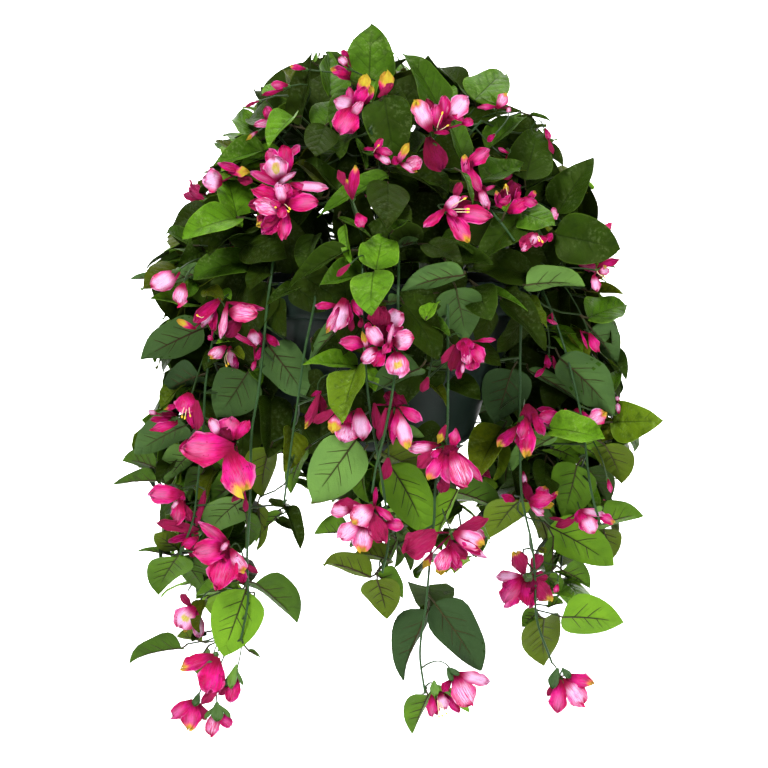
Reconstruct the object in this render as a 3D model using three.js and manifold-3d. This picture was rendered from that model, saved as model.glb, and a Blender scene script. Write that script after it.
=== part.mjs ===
// Artificial azalea in a hanging pot: a plastic pot with a foam fill, a moulded bush trunk, crown
// sprays that build a leafy dome, vines that spill over the rim and trail, and open blossoms.
// Millimetres, +Z up, the front of the basket faces -Y. The origin is the centre of the rim's top.
import * as THREE from 'three';
import { mergeVertices } from 'three/addons/utils/BufferGeometryUtils.js';
import Module from 'manifold-3d';

const wasm = await Module();
wasm.setup();

// ---- driving dimensions ----
const RIM_R = 125;            // outer radius of the rolled rim
const COLLAR_H = 28;          // height of the upright collar under the rim
const COLLAR_STEP = 5;        // how far the bowl steps in below the collar
const BOWL_DEPTH = 140;       // rim top to the underside of the pot
const FOOT_R = 70;            // radius of the flat foot
const WALL = 2.6;             // pot wall
const FOAM_TOP = -20;         // top of the foam fill
const GAP = 0.35;             // clearance between pieces that touch
const TRUNK_R = 13;           // moulded trunk that every branch springs from
const TRUNK_TOP = 38;
const TRUNK_FOOT = -75;
const STEM_R = 2.3;           // plastic-covered wire stem
const PEDICEL_R = 1.3;        // thin stalk of a blossom
const LEAF_L = 54;            // leaf length and width, as cut from cloth
const LEAF_W = 41;
const LEAF_T = 1.1;           // leaf solid, thicker than the cloth it stands for
const BLOSSOM_R = 27;         // radius of an open blossom
const BLOSSOM_T = 1.4;
const GRID = 0.85;            // layout grid, counted from the origin: x right, y up
const EYE = new THREE.Vector3(3.4, -1800, 85);  // layout points slide along rays from here

const COLOUR = {
  pot: [0x1f2a22, 0.35], foam: [0x3a4a30, 0.95], trunk: [0x4a3d2c, 0.7], stem: [0x3f6b3a, 0.5],
  leaf: [0x3d6a1e, 0.5], crown: [0x35591f, 0.45], petal: [0xe0308a, 0.6],
};

// ---- helpers ----
const V = (x, y, z) => new THREE.Vector3(x, y, z);
const rad = THREE.MathUtils.degToRad;
const polar = (a, r, z) => V(r * Math.cos(rad(a)), r * Math.sin(rad(a)), z);

// A layout point: (gx, gy) on the plane through the axis, brought forward by depth millimetres.
function layout(gx, gy, depth) {
  const p = V(gx * GRID, 0, gy * GRID);
  return EYE.clone().lerp(p, (1800 - depth) / 1800);
}

// Repeatable scatter.
let state = 20261;
function rnd(lo, hi) {
  state = (state * 1103515245 + 12345) % 2147483648;
  return lo + (hi - lo) * (state / 2147483648);
}

function toSolid(geometry) {
  const g = geometry.clone();
  g.deleteAttribute('normal');
  g.deleteAttribute('uv');
  const m = mergeVertices(g, 1e-4);
  return new wasm.Manifold(new wasm.Mesh({
    numProp: 3,
    vertProperties: new Float32Array(m.attributes.position.array),
    triVerts: new Uint32Array(m.index.array),
  }));
}

function shell(points, faces) {
  const g = new THREE.BufferGeometry();
  g.setAttribute('position', new THREE.Float32BufferAttribute(points.flatMap((p) => [p.x, p.y, p.z]), 3));
  g.setIndex(faces);
  return toSolid(g);
}

function unionAll(list) {
  return list.reduce((a, b) => a.add(b));
}

// Round stem along a smooth route.
function tube(route, radius, steps, sides = 5) {
  const shape = new THREE.Shape();
  for (let i = 0; i < sides; i++) {
    const a = (i / sides) * Math.PI * 2;
    if (i === 0) shape.moveTo(radius * Math.cos(a), radius * Math.sin(a));
    else shape.lineTo(radius * Math.cos(a), radius * Math.sin(a));
  }
  shape.closePath();
  const path = new THREE.CatmullRomCurve3(route, false, 'centripetal');
  return toSolid(new THREE.ExtrudeGeometry(shape, { extrudePath: path, steps, bevelEnabled: false }));
}

// Folded, pointed leaf plate: dir runs base to tip and face is the upper side's normal.
function leaf(base, dir, face, length, width, fold, droop) {
  const d = dir.clone().normalize();
  const n = face.clone().addScaledVector(d, -face.dot(d)).normalize();
  const s = n.clone().cross(d);
  const at = (u, v, w) => base.clone().addScaledVector(d, u * length)
    .addScaledVector(s, v * width).addScaledVector(n, w);
  const rim = [
    at(0, 0, 0), at(0.34, -0.5, fold * width * 0.5), at(0.7, -0.34, fold * width * 0.3 - droop * 0.4),
    at(1, 0, -droop), at(0.7, 0.34, fold * width * 0.3 - droop * 0.4), at(0.34, 0.5, fold * width * 0.5),
  ];
  const half = n.clone().multiplyScalar(LEAF_T / 2);
  const pts = [...rim.map((p) => p.clone().add(half)), ...rim.map((p) => p.clone().sub(half))];
  const f = [];
  for (const [a, b, c] of [[0, 1, 2], [0, 2, 3], [0, 3, 4], [0, 4, 5]])
    f.push(a, b, c, a + 6, c + 6, b + 6);
  for (let i = 0; i < 6; i++) {
    const j = (i + 1) % 6;
    f.push(i + 6, j + 6, j, i + 6, j, i);
  }
  return shell(pts, f);
}

// Open six-petalled blossom: a shallow star cup on a pointed calyx; back is the calyx tip.
function blossom(back, axis, radius, spin) {
  const a = axis.clone().normalize();
  const t = Math.abs(a.z) < 0.9 ? V(0, 0, 1) : V(1, 0, 0);
  const u = t.cross(a).normalize();
  const w = a.clone().cross(u);
  const at = (r, ang, h) => back.clone().addScaledVector(a, h)
    .addScaledVector(u, r * Math.cos(ang)).addScaledVector(w, r * Math.sin(ang));
  const n = 12, pts = [at(0, 0, radius * 0.36), at(0, 0, 0)], f = [];
  for (let k = 0; k < 2; k++)
    for (let i = 0; i < n; i++) {
      const ang = spin + (i / n) * Math.PI * 2;
      const r = i % 2 ? radius * 0.66 : radius;
      pts.push(at(r, ang, (i % 2 ? 0.66 : 0.8) * radius - k * BLOSSOM_T));
    }
  for (let i = 0; i < n; i++) {
    const j = (i + 1) % n, p = 2 + i, q = 2 + j;
    f.push(0, p, q, 1, q + n, p + n, p + n, q + n, q, p + n, q, p);
  }
  return shell(pts, f);
}

// ---- pieces so far, and the test that keeps them apart ----
const group = new THREE.Group();
group.name = 'azalea_hanging_basket';
const placed = new Map();     // name -> solid

function boxOf(solid) {
  const b = solid.boundingBox();
  return new THREE.Box3(V(...b.min), V(...b.max));
}
const boxes = new Map();

function clear(solid, owner) {
  const box = boxOf(solid).expandByScalar(GAP);
  for (const [name, other] of placed) {
    if (name === owner || !box.intersectsBox(boxes.get(name))) continue;
    if (solid.intersect(other).volume() > 1e-6) return false;
  }
  return true;
}

// Where leaves and stalks cross they can shut in a small pocket: the outer skin alone is kept.
function keep(name, solid) {
  const skin = solid.decompose().reduce((a, b) => (b.volume() > a.volume() ? b : a));
  placed.set(name, skin);
  boxes.set(name, boxOf(skin));
}

// ---- pot, foam and trunk ----
const potProfile = [
  [0, -BOWL_DEPTH], [FOOT_R, -BOWL_DEPTH], [FOOT_R + 6, -BOWL_DEPTH + 3.5], [FOOT_R + 9.5, -BOWL_DEPTH + 10],
  [88, -103], [104, -66], [RIM_R - COLLAR_STEP - 5, -COLLAR_H - 6], [RIM_R - COLLAR_STEP, -COLLAR_H],
  [RIM_R - 1.2, -COLLAR_H], [RIM_R - 1.2, -6], [RIM_R, -4.5], [RIM_R, -1], [RIM_R - 1.2, 0],
  [RIM_R - 4.5, 0], [RIM_R - 5.5, -2], [RIM_R - 5.5 - WALL, -COLLAR_H - 2],
  [104 - WALL, -66], [88 - WALL, -103], [FOOT_R + 6, -BOWL_DEPTH + 9], [FOOT_R, -BOWL_DEPTH + WALL + 1],
  [0, -BOWL_DEPTH + WALL + 1],
].map(([r, z]) => new THREE.Vector2(r, z));
const lathe = (profile, n) => toSolid(new THREE.LatheGeometry(profile, n).rotateX(Math.PI / 2));
keep('pot_shell', lathe(potProfile, 32));

const foamProfile = [
  [0, -BOWL_DEPTH + WALL + 1 + GAP], [FOOT_R - 3, -BOWL_DEPTH + WALL + 1 + GAP],
  [FOOT_R + 2, -BOWL_DEPTH + 10], [84, -103], [99, -66], [113, FOAM_TOP - 8], [111, FOAM_TOP],
  [0, FOAM_TOP],
].map(([r, z]) => new THREE.Vector2(r, z));
const cylinder = (r, lo, hi, n) => toSolid(
  new THREE.CylinderGeometry(r, r, hi - lo, n).rotateX(Math.PI / 2).translate(0, 0, (lo + hi) / 2));
keep('foam_fill', lathe(foamProfile, 24).subtract(cylinder(TRUNK_R + GAP, TRUNK_FOOT - GAP, 0, 12)));
keep('bush_trunk', cylinder(TRUNK_R, TRUNK_FOOT, TRUNK_TOP, 12));

// ---- branch routes ----
// The first points of a vine climb from the trunk and cross the rim; the rest trail outside the pot.
const start = (a, z, out = 0.4) => polar(a, TRUNK_R + GAP + STEM_R * out, z);
const overRim = (a, high) => [start(a, high > 28 ? 15 : 5), polar(a, 64, high), polar(a, 119, high - 4)];
const front = (list) => list.map(([x, y, d]) => layout(x, y, d));
const VINES = {
  vine_01: [...overRim(-133, 30), ...front([[-110, -8, 101], [-117, -73, 102], [-122, -118, 104],
    [-128, -153, 105], [-130, -223, 106], [-133, -283, 108], [-132, -323, 110], [-139, -362, 112]])],
  vine_02: [...overRim(-114, 27), ...front([[-65, -23, 124], [-75, -73, 128], [-82, -123, 130],
    [-88, -163, 132], [-96, -226, 134]])],
  vine_03: [...overRim(-96, 24), ...front([[-18, -13, 134], [-15, -80, 141], [-12, -118, 145],
    [-5, -163, 146], [5, -223, 148], [8, -268, 150], [2, -296, 152]])],
  vine_04: [...overRim(-83, 30), ...front([[18, -23, 140], [16, -80, 148], [12, -118, 152],
    [3, -163, 156], [-4, -190, 160], [-8, -216, 160]])],
  vine_05: [...overRim(-61, 26), ...front([[68, -20, 123], [68, -103, 122], [66, -163, 126],
    [56, -203, 130], [54, -243, 132], [50, -283, 134], [46, -328, 136], [40, -376, 138], [45, -416, 140]])],
  vine_06: [...overRim(-30, 28), ...front([[139, -12, 69], [140, -90, 66], [140, -163, 62],
    [142, -220, 60], [152, -268, 60], [155, -300, 60], [157, -343, 60], [172, -386, 60]])],
  vine_07: [...overRim(-10, 31), ...front([[158, -3, 30], [182, -63, 42], [201, -138, 48],
    [211, -213, 50], [220, -246, 52]])],
  vine_08: [...overRim(-162, 31), ...front([[-151, -2, 47], [-165, -53, 50], [-174, -103, 55],
    [-177, -153, 57], [-182, -203, 60], [-187, -243, 62], [-200, -277, 62]])],
};
// Vines at the sides and the back: angle about the pot, and how far down each one trails.
const BACK = [[172, -215], [150, -290], [127, -225], [101, -210], [82, -240], [60, -300], [29, -225], [9, -280]];
BACK.forEach(([a, low], i) => {
  const far = 150 + 14 * Math.sin(i * 2.1);
  const n = Math.round(-low / 62);
  const route = [...overRim(a, 26 + (i % 3) * 3), polar(a, 136, 0)];
  for (let k = 1; k <= n; k++)
    route.push(polar(a + 3 * Math.sin(k * 1.3 + i), 142 + (far - 142) * (k / n) + 3 * Math.sin(k * 2 + i), (low * k) / n));
  VINES['vine_' + String(i + 9).padStart(2, '0')] = route;
});
// Crown sprays in three tiers: angle, root height, then reach and height of the bends.
const SPRAYS = [
  [-100, 36, [[16, 80], [14, 128], [10, 168]]], [20, 34, [[30, 85], [52, 125], [62, 155]]],
  [140, 34, [[30, 85], [52, 125], [62, 155]]],
  ...[-92, -36, 40, 92, 144, 196].map((a, i) => [a, 27, [[40, 66], [78, 100 + 6 * (i % 2)], [98, 122 + 8 * (i % 2)]]]),
  ...[-122, -47, 0, 64, 115, 172].map((a, i) => [a, 20, [[58, 50], [108, 66], [142, 58 - 8 * (i % 2)], [156, 42 - 8 * (i % 2)]]]),
];
const BRANCHES = { ...VINES };
SPRAYS.forEach(([a, z, bends], i) => {
  BRANCHES['spray_' + String(i + 1).padStart(2, '0')] = [
    start(a, z, 1.15), ...bends.map(([r, h]) => polar(a + 4 * Math.sin(h + i), r, h))];
});

const curves = {};
for (const [name, route] of Object.entries(BRANCHES)) {
  curves[name] = new THREE.CatmullRomCurve3(route, false, 'centripetal');
  keep(name, tube(route, STEM_R, Math.round(curves[name].getLength() / 40) + 2, 4));
}

// ---- blossoms ----
// Layout place, depth, facing (x, y, z), size share and the branch that carries it.
const FRONT_BLOSSOMS = [
  [60, 165, 118, [0.3, -1, 0.5], 0.95, 'spray_04'], [-98, 78, 142, [-0.2, -1, 0.1], 1.1, 'spray_10'],
  [-148, 98, 92, [-0.7, -0.6, 0.4], 0.85, 'spray_10'], [76, 64, 158, [0.5, -0.8, -0.2], 1.0, 'spray_04'],
  [158, 38, 120, [0.4, -0.8, -0.4], 0.8, 'spray_11'], [-140, -42, 122, [-0.2, -0.8, -0.5], 1.0, 'vine_01'],
  [4, -64, 172, [0, -1, -0.1], 1.15, 'vine_04'], [88, -80, 150, [0.1, -0.9, -0.3], 0.9, 'vine_05'],
  [-32, -148, 158, [-0.1, -0.7, -0.7], 0.9, 'vine_03'], [66, -186, 152, [0.3, -0.8, -0.5], 1.1, 'vine_05'],
  [148, -152, 92, [0.1, -0.5, -0.9], 0.85, 'vine_06'], [-160, -178, 118, [-0.5, -0.8, -0.2], 1.1, 'vine_01'],
  [-158, -280, 112, [-0.5, -0.8, -0.2], 1.1, 'vine_01'], [-18, -244, 166, [-0.1, -0.8, -0.6], 1.15, 'vine_04'],
  [76, -268, 150, [0.6, -0.7, -0.3], 1.0, 'vine_05'], [188, -404, 70, [0.4, -0.3, -1], 0.8, 'vine_06'],
  [-172, -396, 112, [-0.4, -0.3, -1], 0.8, 'vine_01'], [84, -408, 142, [0.5, -0.3, -0.9], 0.75, 'vine_05'],
];
const SIDE_BLOSSOMS = [     // angle, radius, height, lift of the facing, branch
  [160, 168, 66, 0.3, 'spray_15'], [120, 160, 84, 0.4, 'spray_14'], [82, 150, 96, 0.5, 'spray_07'],
  [40, 156, 92, 0.4, 'spray_06'], [2, 176, 22, 0.1, 'spray_12'],
  [101, 178, -130, -0.4, 'vine_12'], [60, 180, -190, -0.5, 'vine_14'], [9, 182, -205, -0.4, 'vine_16'],
];
const blossoms = [
  ...FRONT_BLOSSOMS.map(([x, y, d, f, s, on]) => [layout(x, y, d), V(...f), s, on]),
  ...SIDE_BLOSSOMS.map(([a, r, z, lift, on]) => [polar(a, r, z), polar(a, 1, lift), 1, on]),
];
blossoms.forEach(([centre, facing, share, on], i) => {
  const axis = facing.clone().normalize(), r = BLOSSOM_R * share;
  const back = centre.clone().addScaledVector(axis, -0.5 * r);
  const solid = blossom(back, axis, r, i * 0.7);
  if (!clear(solid, '')) throw new Error('blossom ' + (i + 1) + ' is not clear');
  // The stalk leaves a near point of its branch and ends just short of the calyx.
  const end = back.clone().addScaledVector(axis, -GAP);
  const near = curves[on].getSpacedPoints(60).sort((a, b) => a.distanceTo(back) - b.distanceTo(back));
  keep('blossom_' + String(i + 1).padStart(2, '0'), solid);
  for (const from of near.slice(0, 30)) {
    const bend = end.clone().addScaledVector(axis, -Math.min(14, from.distanceTo(end) * 0.4));
    const stalk = tube([from, bend, end], PEDICEL_R, 3, 3);
    if (!clear(stalk, on)) continue;
    keep(on, placed.get(on).add(stalk));
    return;
  }
  throw new Error('no way in for the stalk of blossom ' + (i + 1));
});

// ---- leaves ----
// Whorls of leaves along each branch; a leaf that would run into another piece is turned, then dropped.
const blades = {};
function addLeaf(on, base, dir, face, length, width) {
  for (let k = 0; k < 5; k++) {
    const d = dir.clone().normalize();
    const turn = k ? rnd(-0.5, 0.5) : 0, lift = k ? rnd(-0.35, 0.35) : 0;
    d.add(face.clone().cross(d).multiplyScalar(turn)).add(face.clone().multiplyScalar(lift)).normalize();
    const root = base.clone().addScaledVector(d, STEM_R * 0.25);
    const blade = leaf(root, d, face, length, width, 0.18, length * 0.12);
    if (!clear(blade, on)) continue;
    if (blades[on].some((b) => b.intersect(blade).volume() > 2)) continue;
    blades[on].push(blade);
    keep(on, placed.get(on).add(blade));
    return true;
  }
  return false;
}

const names = Object.keys(BRANCHES);
for (const on of names) blades[on] = [];
const up = V(0, 0, 1);
for (const on of names) {
  const trail = on.startsWith('vine'), curve = curves[on], len = curve.getLength();
  const from = trail ? 0.3 : 0.5, count = Math.round((len * (1 - from)) / (trail ? 104 : 56)) + 1;
  for (let k = 0; k < count; k++) {
    const t = from + (1 - from) * ((k + 0.6) / count), p = curve.getPointAt(Math.min(t, 0.985));
    const out = V(p.x, p.y, 0).normalize();
    const side = up.clone().cross(out);
    const last = k === count - 1;
    for (let m = 0; m < 3; m++) {
      const ang = rad((m - 1) * 82 + rnd(-22, 22) + (k % 2) * 24);
      const flat = out.clone().multiplyScalar(Math.cos(ang)).addScaledVector(side, Math.sin(ang));
      const rise = trail ? rnd(-1.3, -0.45) - (last ? 1.2 : 0) : rnd(-0.15, 0.55) + Math.max(0, p.z - 80) / 75;
      const dir = flat.clone().addScaledVector(up, rise).normalize();
      const face = trail ? flat.clone().multiplyScalar(0.9).add(up.clone().multiplyScalar(0.7))
        : up.clone().add(flat.clone().multiplyScalar(-0.15));
      const size = rnd(0.86, 1.04);
      addLeaf(on, p, dir, face.normalize(), LEAF_L * size, LEAF_W * size);
    }
  }
}

// Leaves that set the outline: the crown's tip, the widest ones left and right, the lowest ones.
const OUTLINE = [
  ['spray_01', layout(-10, 254, 20), V(-0.3, -0.3, 1)], ['vine_08', layout(-272, -208, 62), V(-1, -0.2, -0.2)],
  ['vine_07', layout(279, -143, 48), V(1, -0.2, 0.1)], ['vine_05', layout(33, -466, 140), V(-0.3, -0.3, -1)],
];
for (const [on, tip, dir] of OUTLINE) {
  const d = dir.clone().normalize(), base = tip.clone().addScaledVector(d, -LEAF_L);
  const pts = curves[on].getSpacedPoints(60);
  const from = pts.reduce((a, b) => (b.distanceTo(base) < a.distanceTo(base) ? b : a));
  const face = Math.abs(d.z) > 0.8 ? V(0, -1, 0.2) : V(0, -0.4, 1);
  const reach = base.clone().addScaledVector(d, 4);
  const twig = tube([from, from.clone().lerp(reach, 0.5).add(V(0, 0, 2)), reach], PEDICEL_R, 3, 4);
  const blade = leaf(base, d, face, LEAF_L, LEAF_W, 0.18, 2);
  for (const [what, s] of [['twig', twig], ['blade', blade]])
    if (!clear(s, on)) throw new Error('outline ' + what + ' on ' + on + ' is not clear');
  keep(on, unionAll([placed.get(on), twig, blade]));
}

// ---- named meshes ----
function materialOf(name) {
  const key = name === 'pot_shell' ? 'pot' : name === 'foam_fill' ? 'foam' : name === 'bush_trunk' ? 'trunk'
    : name.startsWith('blossom') ? 'petal' : name.startsWith('spray') ? 'crown' : 'leaf';
  const [color, roughness] = COLOUR[key];
  return new THREE.MeshStandardMaterial({ color, roughness, metalness: 0 });
}

for (const [name, solid] of placed) {
  const m = solid.getMesh();
  const g = new THREE.BufferGeometry();
  g.setAttribute('position', new THREE.BufferAttribute(new Float32Array(m.vertProperties), 3));
  g.setIndex(new THREE.BufferAttribute(new Uint32Array(m.triVerts), 1));
  g.computeVertexNormals();
  const mesh = new THREE.Mesh(g, materialOf(name));
  mesh.name = name;
  group.add(mesh);
}

export default group;
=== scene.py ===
import bpy
import math
import random
import numpy as np
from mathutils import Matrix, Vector


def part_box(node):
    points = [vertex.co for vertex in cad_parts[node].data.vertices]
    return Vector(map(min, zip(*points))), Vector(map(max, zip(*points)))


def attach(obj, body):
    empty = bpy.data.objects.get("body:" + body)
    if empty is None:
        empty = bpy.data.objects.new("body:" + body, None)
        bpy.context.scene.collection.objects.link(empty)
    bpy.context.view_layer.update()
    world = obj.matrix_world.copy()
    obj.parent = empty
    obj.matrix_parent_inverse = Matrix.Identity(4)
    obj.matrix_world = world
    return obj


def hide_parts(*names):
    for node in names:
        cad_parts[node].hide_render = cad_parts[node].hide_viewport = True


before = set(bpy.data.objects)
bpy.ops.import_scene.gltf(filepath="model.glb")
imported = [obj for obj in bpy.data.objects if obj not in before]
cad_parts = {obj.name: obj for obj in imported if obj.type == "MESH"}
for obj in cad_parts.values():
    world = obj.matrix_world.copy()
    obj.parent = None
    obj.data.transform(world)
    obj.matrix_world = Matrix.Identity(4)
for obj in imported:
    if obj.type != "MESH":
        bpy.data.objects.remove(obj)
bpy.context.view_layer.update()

# Everything below is worked out in millimetres in the row frame and written to the meshes in metres.
SEED = 521
MM = 0.001                          # a millimetre in metres
rng = random.Random(SEED)
A = np.array
Z = A([0.0, 0.0, 1.0])


def unit(v):
    """The vector v at length 1."""
    v = np.asarray(v, float)
    return v / (np.linalg.norm(v) + 1e-12)


# ---- camera ---------------------------------------------------------------------------------
EYE, AIM = A([3.4, -1800.0, 85.0]), A([3.4, 0.0, -91.0])
EYE_FAR = 1800                      # from the eye to the pot's axis
FRAME, SENSOR = 768, 36.0           # the photograph's side in pixels, the sensor's in millimetres
HALF = FRAME // 2
FOCAL = 2127.8                      # focal length in pixels
FWD = unit(AIM - EYE)
RIGHT = A([1.0, 0.0, 0.0])
UP = np.cross(RIGHT, FWD)
NEAR = -FWD                         # towards the viewer


def at(px, py, depth):
    """The point seen at (px, py) that lies depth mm in front of the pot's axis."""
    ray = FWD * FOCAL + RIGHT * (px - HALF) + UP * (HALF - py)
    return EYE + ray * ((-depth - EYE[1]) / ray[1])


def pixel(p):
    """Column and row at which points are seen."""
    q = np.asarray(p) - EYE
    z = q @ FWD
    return HALF + FOCAL * (q @ RIGHT) / z, HALF - FOCAL * (q @ UP) / z


# ---- branch routes, as in the frame's model ---------------------------------------------------
AXIS_X, RIM_Y = 380, 277            # column of the pot's axis and row of its rim
OVER_RIM = 22                       # points of a vine's line before it has crossed the rim


def polar(a, r, z):
    """The point at a degrees and r mm round the pot's axis, at height z."""
    a = math.radians(a)
    return A([r * math.cos(a), r * math.sin(a), z])


def start(a, z, out=0.4):
    """Where a stem leaves the trunk."""
    return polar(a, 13.35 + 2.3 * out, z)


def over_rim(a, high):
    """A vine's first points: from the trunk over the foam and the rim."""
    return [start(a, 15 if high > 28 else 5), polar(a, 64, high), polar(a, 119, high - 4)]


def front(points):
    """Points given as pixels right of the axis and above the rim, with their depth."""
    return [at(x + AXIS_X, RIM_Y - y, d) for x, y, d in points]


ROUTES = {
    "vine_01": over_rim(-133, 30) + front([
        (-110, -8, 101), (-117, -73, 102), (-122, -118, 104), (-128, -153, 105), (-130, -223, 106),
        (-133, -283, 108), (-132, -323, 110), (-139, -362, 112)]),
    "vine_02": over_rim(-114, 27) + front([
        (-65, -23, 124), (-75, -73, 128), (-82, -123, 130), (-88, -163, 132), (-96, -226, 134)]),
    "vine_03": over_rim(-96, 24) + front([
        (-18, -13, 134), (-15, -80, 141), (-12, -118, 145), (-5, -163, 146), (5, -223, 148), (8, -268, 150),
        (2, -296, 152)]),
    "vine_04": over_rim(-83, 30) + front([
        (18, -23, 140), (16, -80, 148), (12, -118, 152), (3, -163, 156), (-4, -190, 160), (-8, -216, 160)]),
    "vine_05": over_rim(-61, 26) + front([
        (68, -20, 123), (68, -103, 122), (66, -163, 126), (56, -203, 130), (54, -243, 132), (50, -283, 134),
        (46, -328, 136), (40, -376, 138), (45, -416, 140)]),
    "vine_06": over_rim(-30, 28) + front([
        (139, -12, 69), (140, -90, 66), (140, -163, 62), (142, -220, 60), (152, -268, 60), (155, -300, 60),
        (157, -343, 60), (172, -386, 60)]),
    "vine_07": over_rim(-10, 31) + front([
        (158, -3, 30), (182, -63, 42), (201, -138, 48), (211, -213, 50), (220, -246, 52)]),
    "vine_08": over_rim(-162, 31) + front([
        (-151, -2, 47), (-165, -53, 50), (-174, -103, 55), (-177, -153, 57), (-182, -203, 60),
        (-187, -243, 62), (-200, -277, 62)]),
}
# vines of the back half: angle and height of the lower end; they start BACK_R from the axis and spread
BACK_R = 142
BACK = [(172, -215), (150, -290), (127, -225), (101, -210), (82, -240), (60, -300), (29, -225), (9, -280)]
for i, (a, low) in enumerate(BACK):
    far, n = 150 + 14 * math.sin(i * 2.1), round(-low / 62)
    route = over_rim(a, 26 + (i % 3) * 3) + [polar(a, 136, 0)]
    for k in range(1, n + 1):
        r = BACK_R + (far - BACK_R) * (k / n) + 3 * math.sin(k * 2 + i)
        route.append(polar(a + 3 * math.sin(k * 1.3 + i), r, low * k / n))
    ROUTES["vine_%02d" % (i + 9)] = route
# branches of the dome, from the top down: angle, height on the trunk and bends (radius, height)
SPRAYS = [(-100, 36, [(16, 80), (14, 128), (10, 168)]), (20, 34, [(30, 85), (52, 125), (62, 155)]),
          (140, 34, [(30, 85), (52, 125), (62, 155)])]
SPRAYS += [(a, 27, [(40, 66), (78, 100 + 6 * (i % 2)), (98, 122 + 8 * (i % 2))])
           for i, a in enumerate([-92, -36, 40, 92, 144, 196])]
SPRAYS += [(a, 20, [(58, 50), (108, 66), (142, 58 - 8 * (i % 2)), (156, 42 - 8 * (i % 2))])
           for i, a in enumerate([-122, -47, 0, 64, 115, 172])]
for i, (a, z, bends) in enumerate(SPRAYS):
    points = [polar(a + 4 * math.sin(h + i), r, h) for r, h in bends]
    ROUTES["spray_%02d" % (i + 1)] = [start(a, z, 1.15)] + points


def smooth(points, per=8):
    """Centripetal Catmull-Rom through the points, per steps from each to the next."""
    p = [2 * points[0] - points[1]] + list(points) + [2 * points[-1] - points[-2]]
    out = []
    for i in range(1, len(p) - 2):
        p0, p1, p2, p3 = p[i - 1:i + 3]
        t0 = 0.0
        t1 = t0 + np.linalg.norm(p1 - p0) ** 0.5
        t2 = t1 + np.linalg.norm(p2 - p1) ** 0.5
        t3 = t2 + np.linalg.norm(p3 - p2) ** 0.5
        for k in range(per):
            t = t1 + (t2 - t1) * k / per
            a1 = (t1 - t) / (t1 - t0) * p0 + (t - t0) / (t1 - t0) * p1
            a2 = (t2 - t) / (t2 - t1) * p1 + (t - t1) / (t2 - t1) * p2
            a3 = (t3 - t) / (t3 - t2) * p2 + (t - t2) / (t3 - t2) * p3
            b1 = (t2 - t) / (t2 - t0) * a1 + (t - t0) / (t2 - t0) * a2
            b2 = (t3 - t) / (t3 - t1) * a2 + (t - t1) / (t3 - t1) * a3
            out.append((t2 - t) / (t2 - t1) * b1 + (t - t1) / (t2 - t1) * b2)
    out.append(points[-1])
    return A(out)


LINES = {name: smooth(route) for name, route in ROUTES.items()}
NAMES = list(LINES)
ALL_POINTS = np.concatenate([LINES[n] for n in NAMES])
ALL_NAMES = [n for n in NAMES for _ in LINES[n]]


# ---- mesh parts ---------------------------------------------------------------------------------
STEM, LEAF = 0, 1                   # material slots of a foliage piece
PETAL, THREAD, GREEN = 0, 1, 2      # material slots of a flower piece
FACES = {}                          # faces of a closed sheet, by the size of its grid
TUBE_UV = 0.02                      # pattern length for a mm of tube


class Soup:
    """Collects closed shells and turns them into one Blender object. Materials say what the tints mean."""

    def __init__(self):
        self.v, self.f, self.uv, self.tint, self.mat, self.rim, self.n = [], [], [], [], [], [], 0

    def add(self, v, f, uv, tint, mat, rim=None):
        self.rim.append(np.zeros(len(v)) if rim is None else rim)
        self.v.append(v)
        self.f.append(f + self.n)
        self.uv.append(uv)
        self.tint.append(tint)
        self.mat.append(np.full(len(f), mat))
        self.n += len(v)

    def build(self, name, materials):
        v, f = np.concatenate(self.v) * MM, np.concatenate(self.f)
        uv, tint, mat = np.concatenate(self.uv), np.concatenate(self.tint), np.concatenate(self.mat)
        me = bpy.data.meshes.new(name)
        me.vertices.add(len(v))
        me.vertices.foreach_set("co", v.astype(np.float32).ravel())
        me.loops.add(f.size)
        me.loops.foreach_set("vertex_index", f.ravel().astype(np.int32))
        me.polygons.add(len(f))
        me.polygons.foreach_set("loop_start", np.arange(0, f.size, 4, dtype=np.int32))
        me.polygons.foreach_set("material_index", mat.astype(np.int32))
        layer = me.uv_layers.new(name="Pattern")
        layer.data.foreach_set("uv", uv[f.ravel()].astype(np.float32).ravel())
        paint = me.attributes.new("tint", "FLOAT_COLOR", "POINT")
        paint.data.foreach_set("color", tint.astype(np.float32).ravel())
        rim = me.attributes.new("rim", "FLOAT", "POINT")
        rim.data.foreach_set("value", np.concatenate(self.rim).astype(np.float32))
        me.update(calc_edges=True)
        me.validate()
        me.polygons.foreach_set("use_smooth", np.ones(len(me.polygons), bool))
        me.set_sharp_from_angle(angle=math.radians(62))
        for m in materials:
            me.materials.append(m)
        ob = bpy.data.objects.new(name, me)
        bpy.context.scene.collection.objects.link(ob)
        return ob


def sheet_faces(nu, nv):
    """Quads of the upper side, the underside and the edge between them."""
    i, j = np.meshgrid(np.arange(nu - 1), np.arange(nv - 1), indexing="ij")
    top = np.stack([(k * nv + m).ravel() for k, m in ((i, j), (i + 1, j), (i + 1, j + 1), (i, j + 1))], 1)
    n = nu * nv
    edge = [k for k in range(nv)] + [k * nv + nv - 1 for k in range(1, nu)]
    edge += [(nu - 1) * nv + k for k in range(nv - 2, -1, -1)] + [k * nv for k in range(nu - 2, 0, -1)]
    e, g = A(edge), A(edge[1:] + edge[:1])
    return np.concatenate([top, top[:, ::-1] + n, np.stack([e, g, g + n, e + n], 1)])


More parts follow.
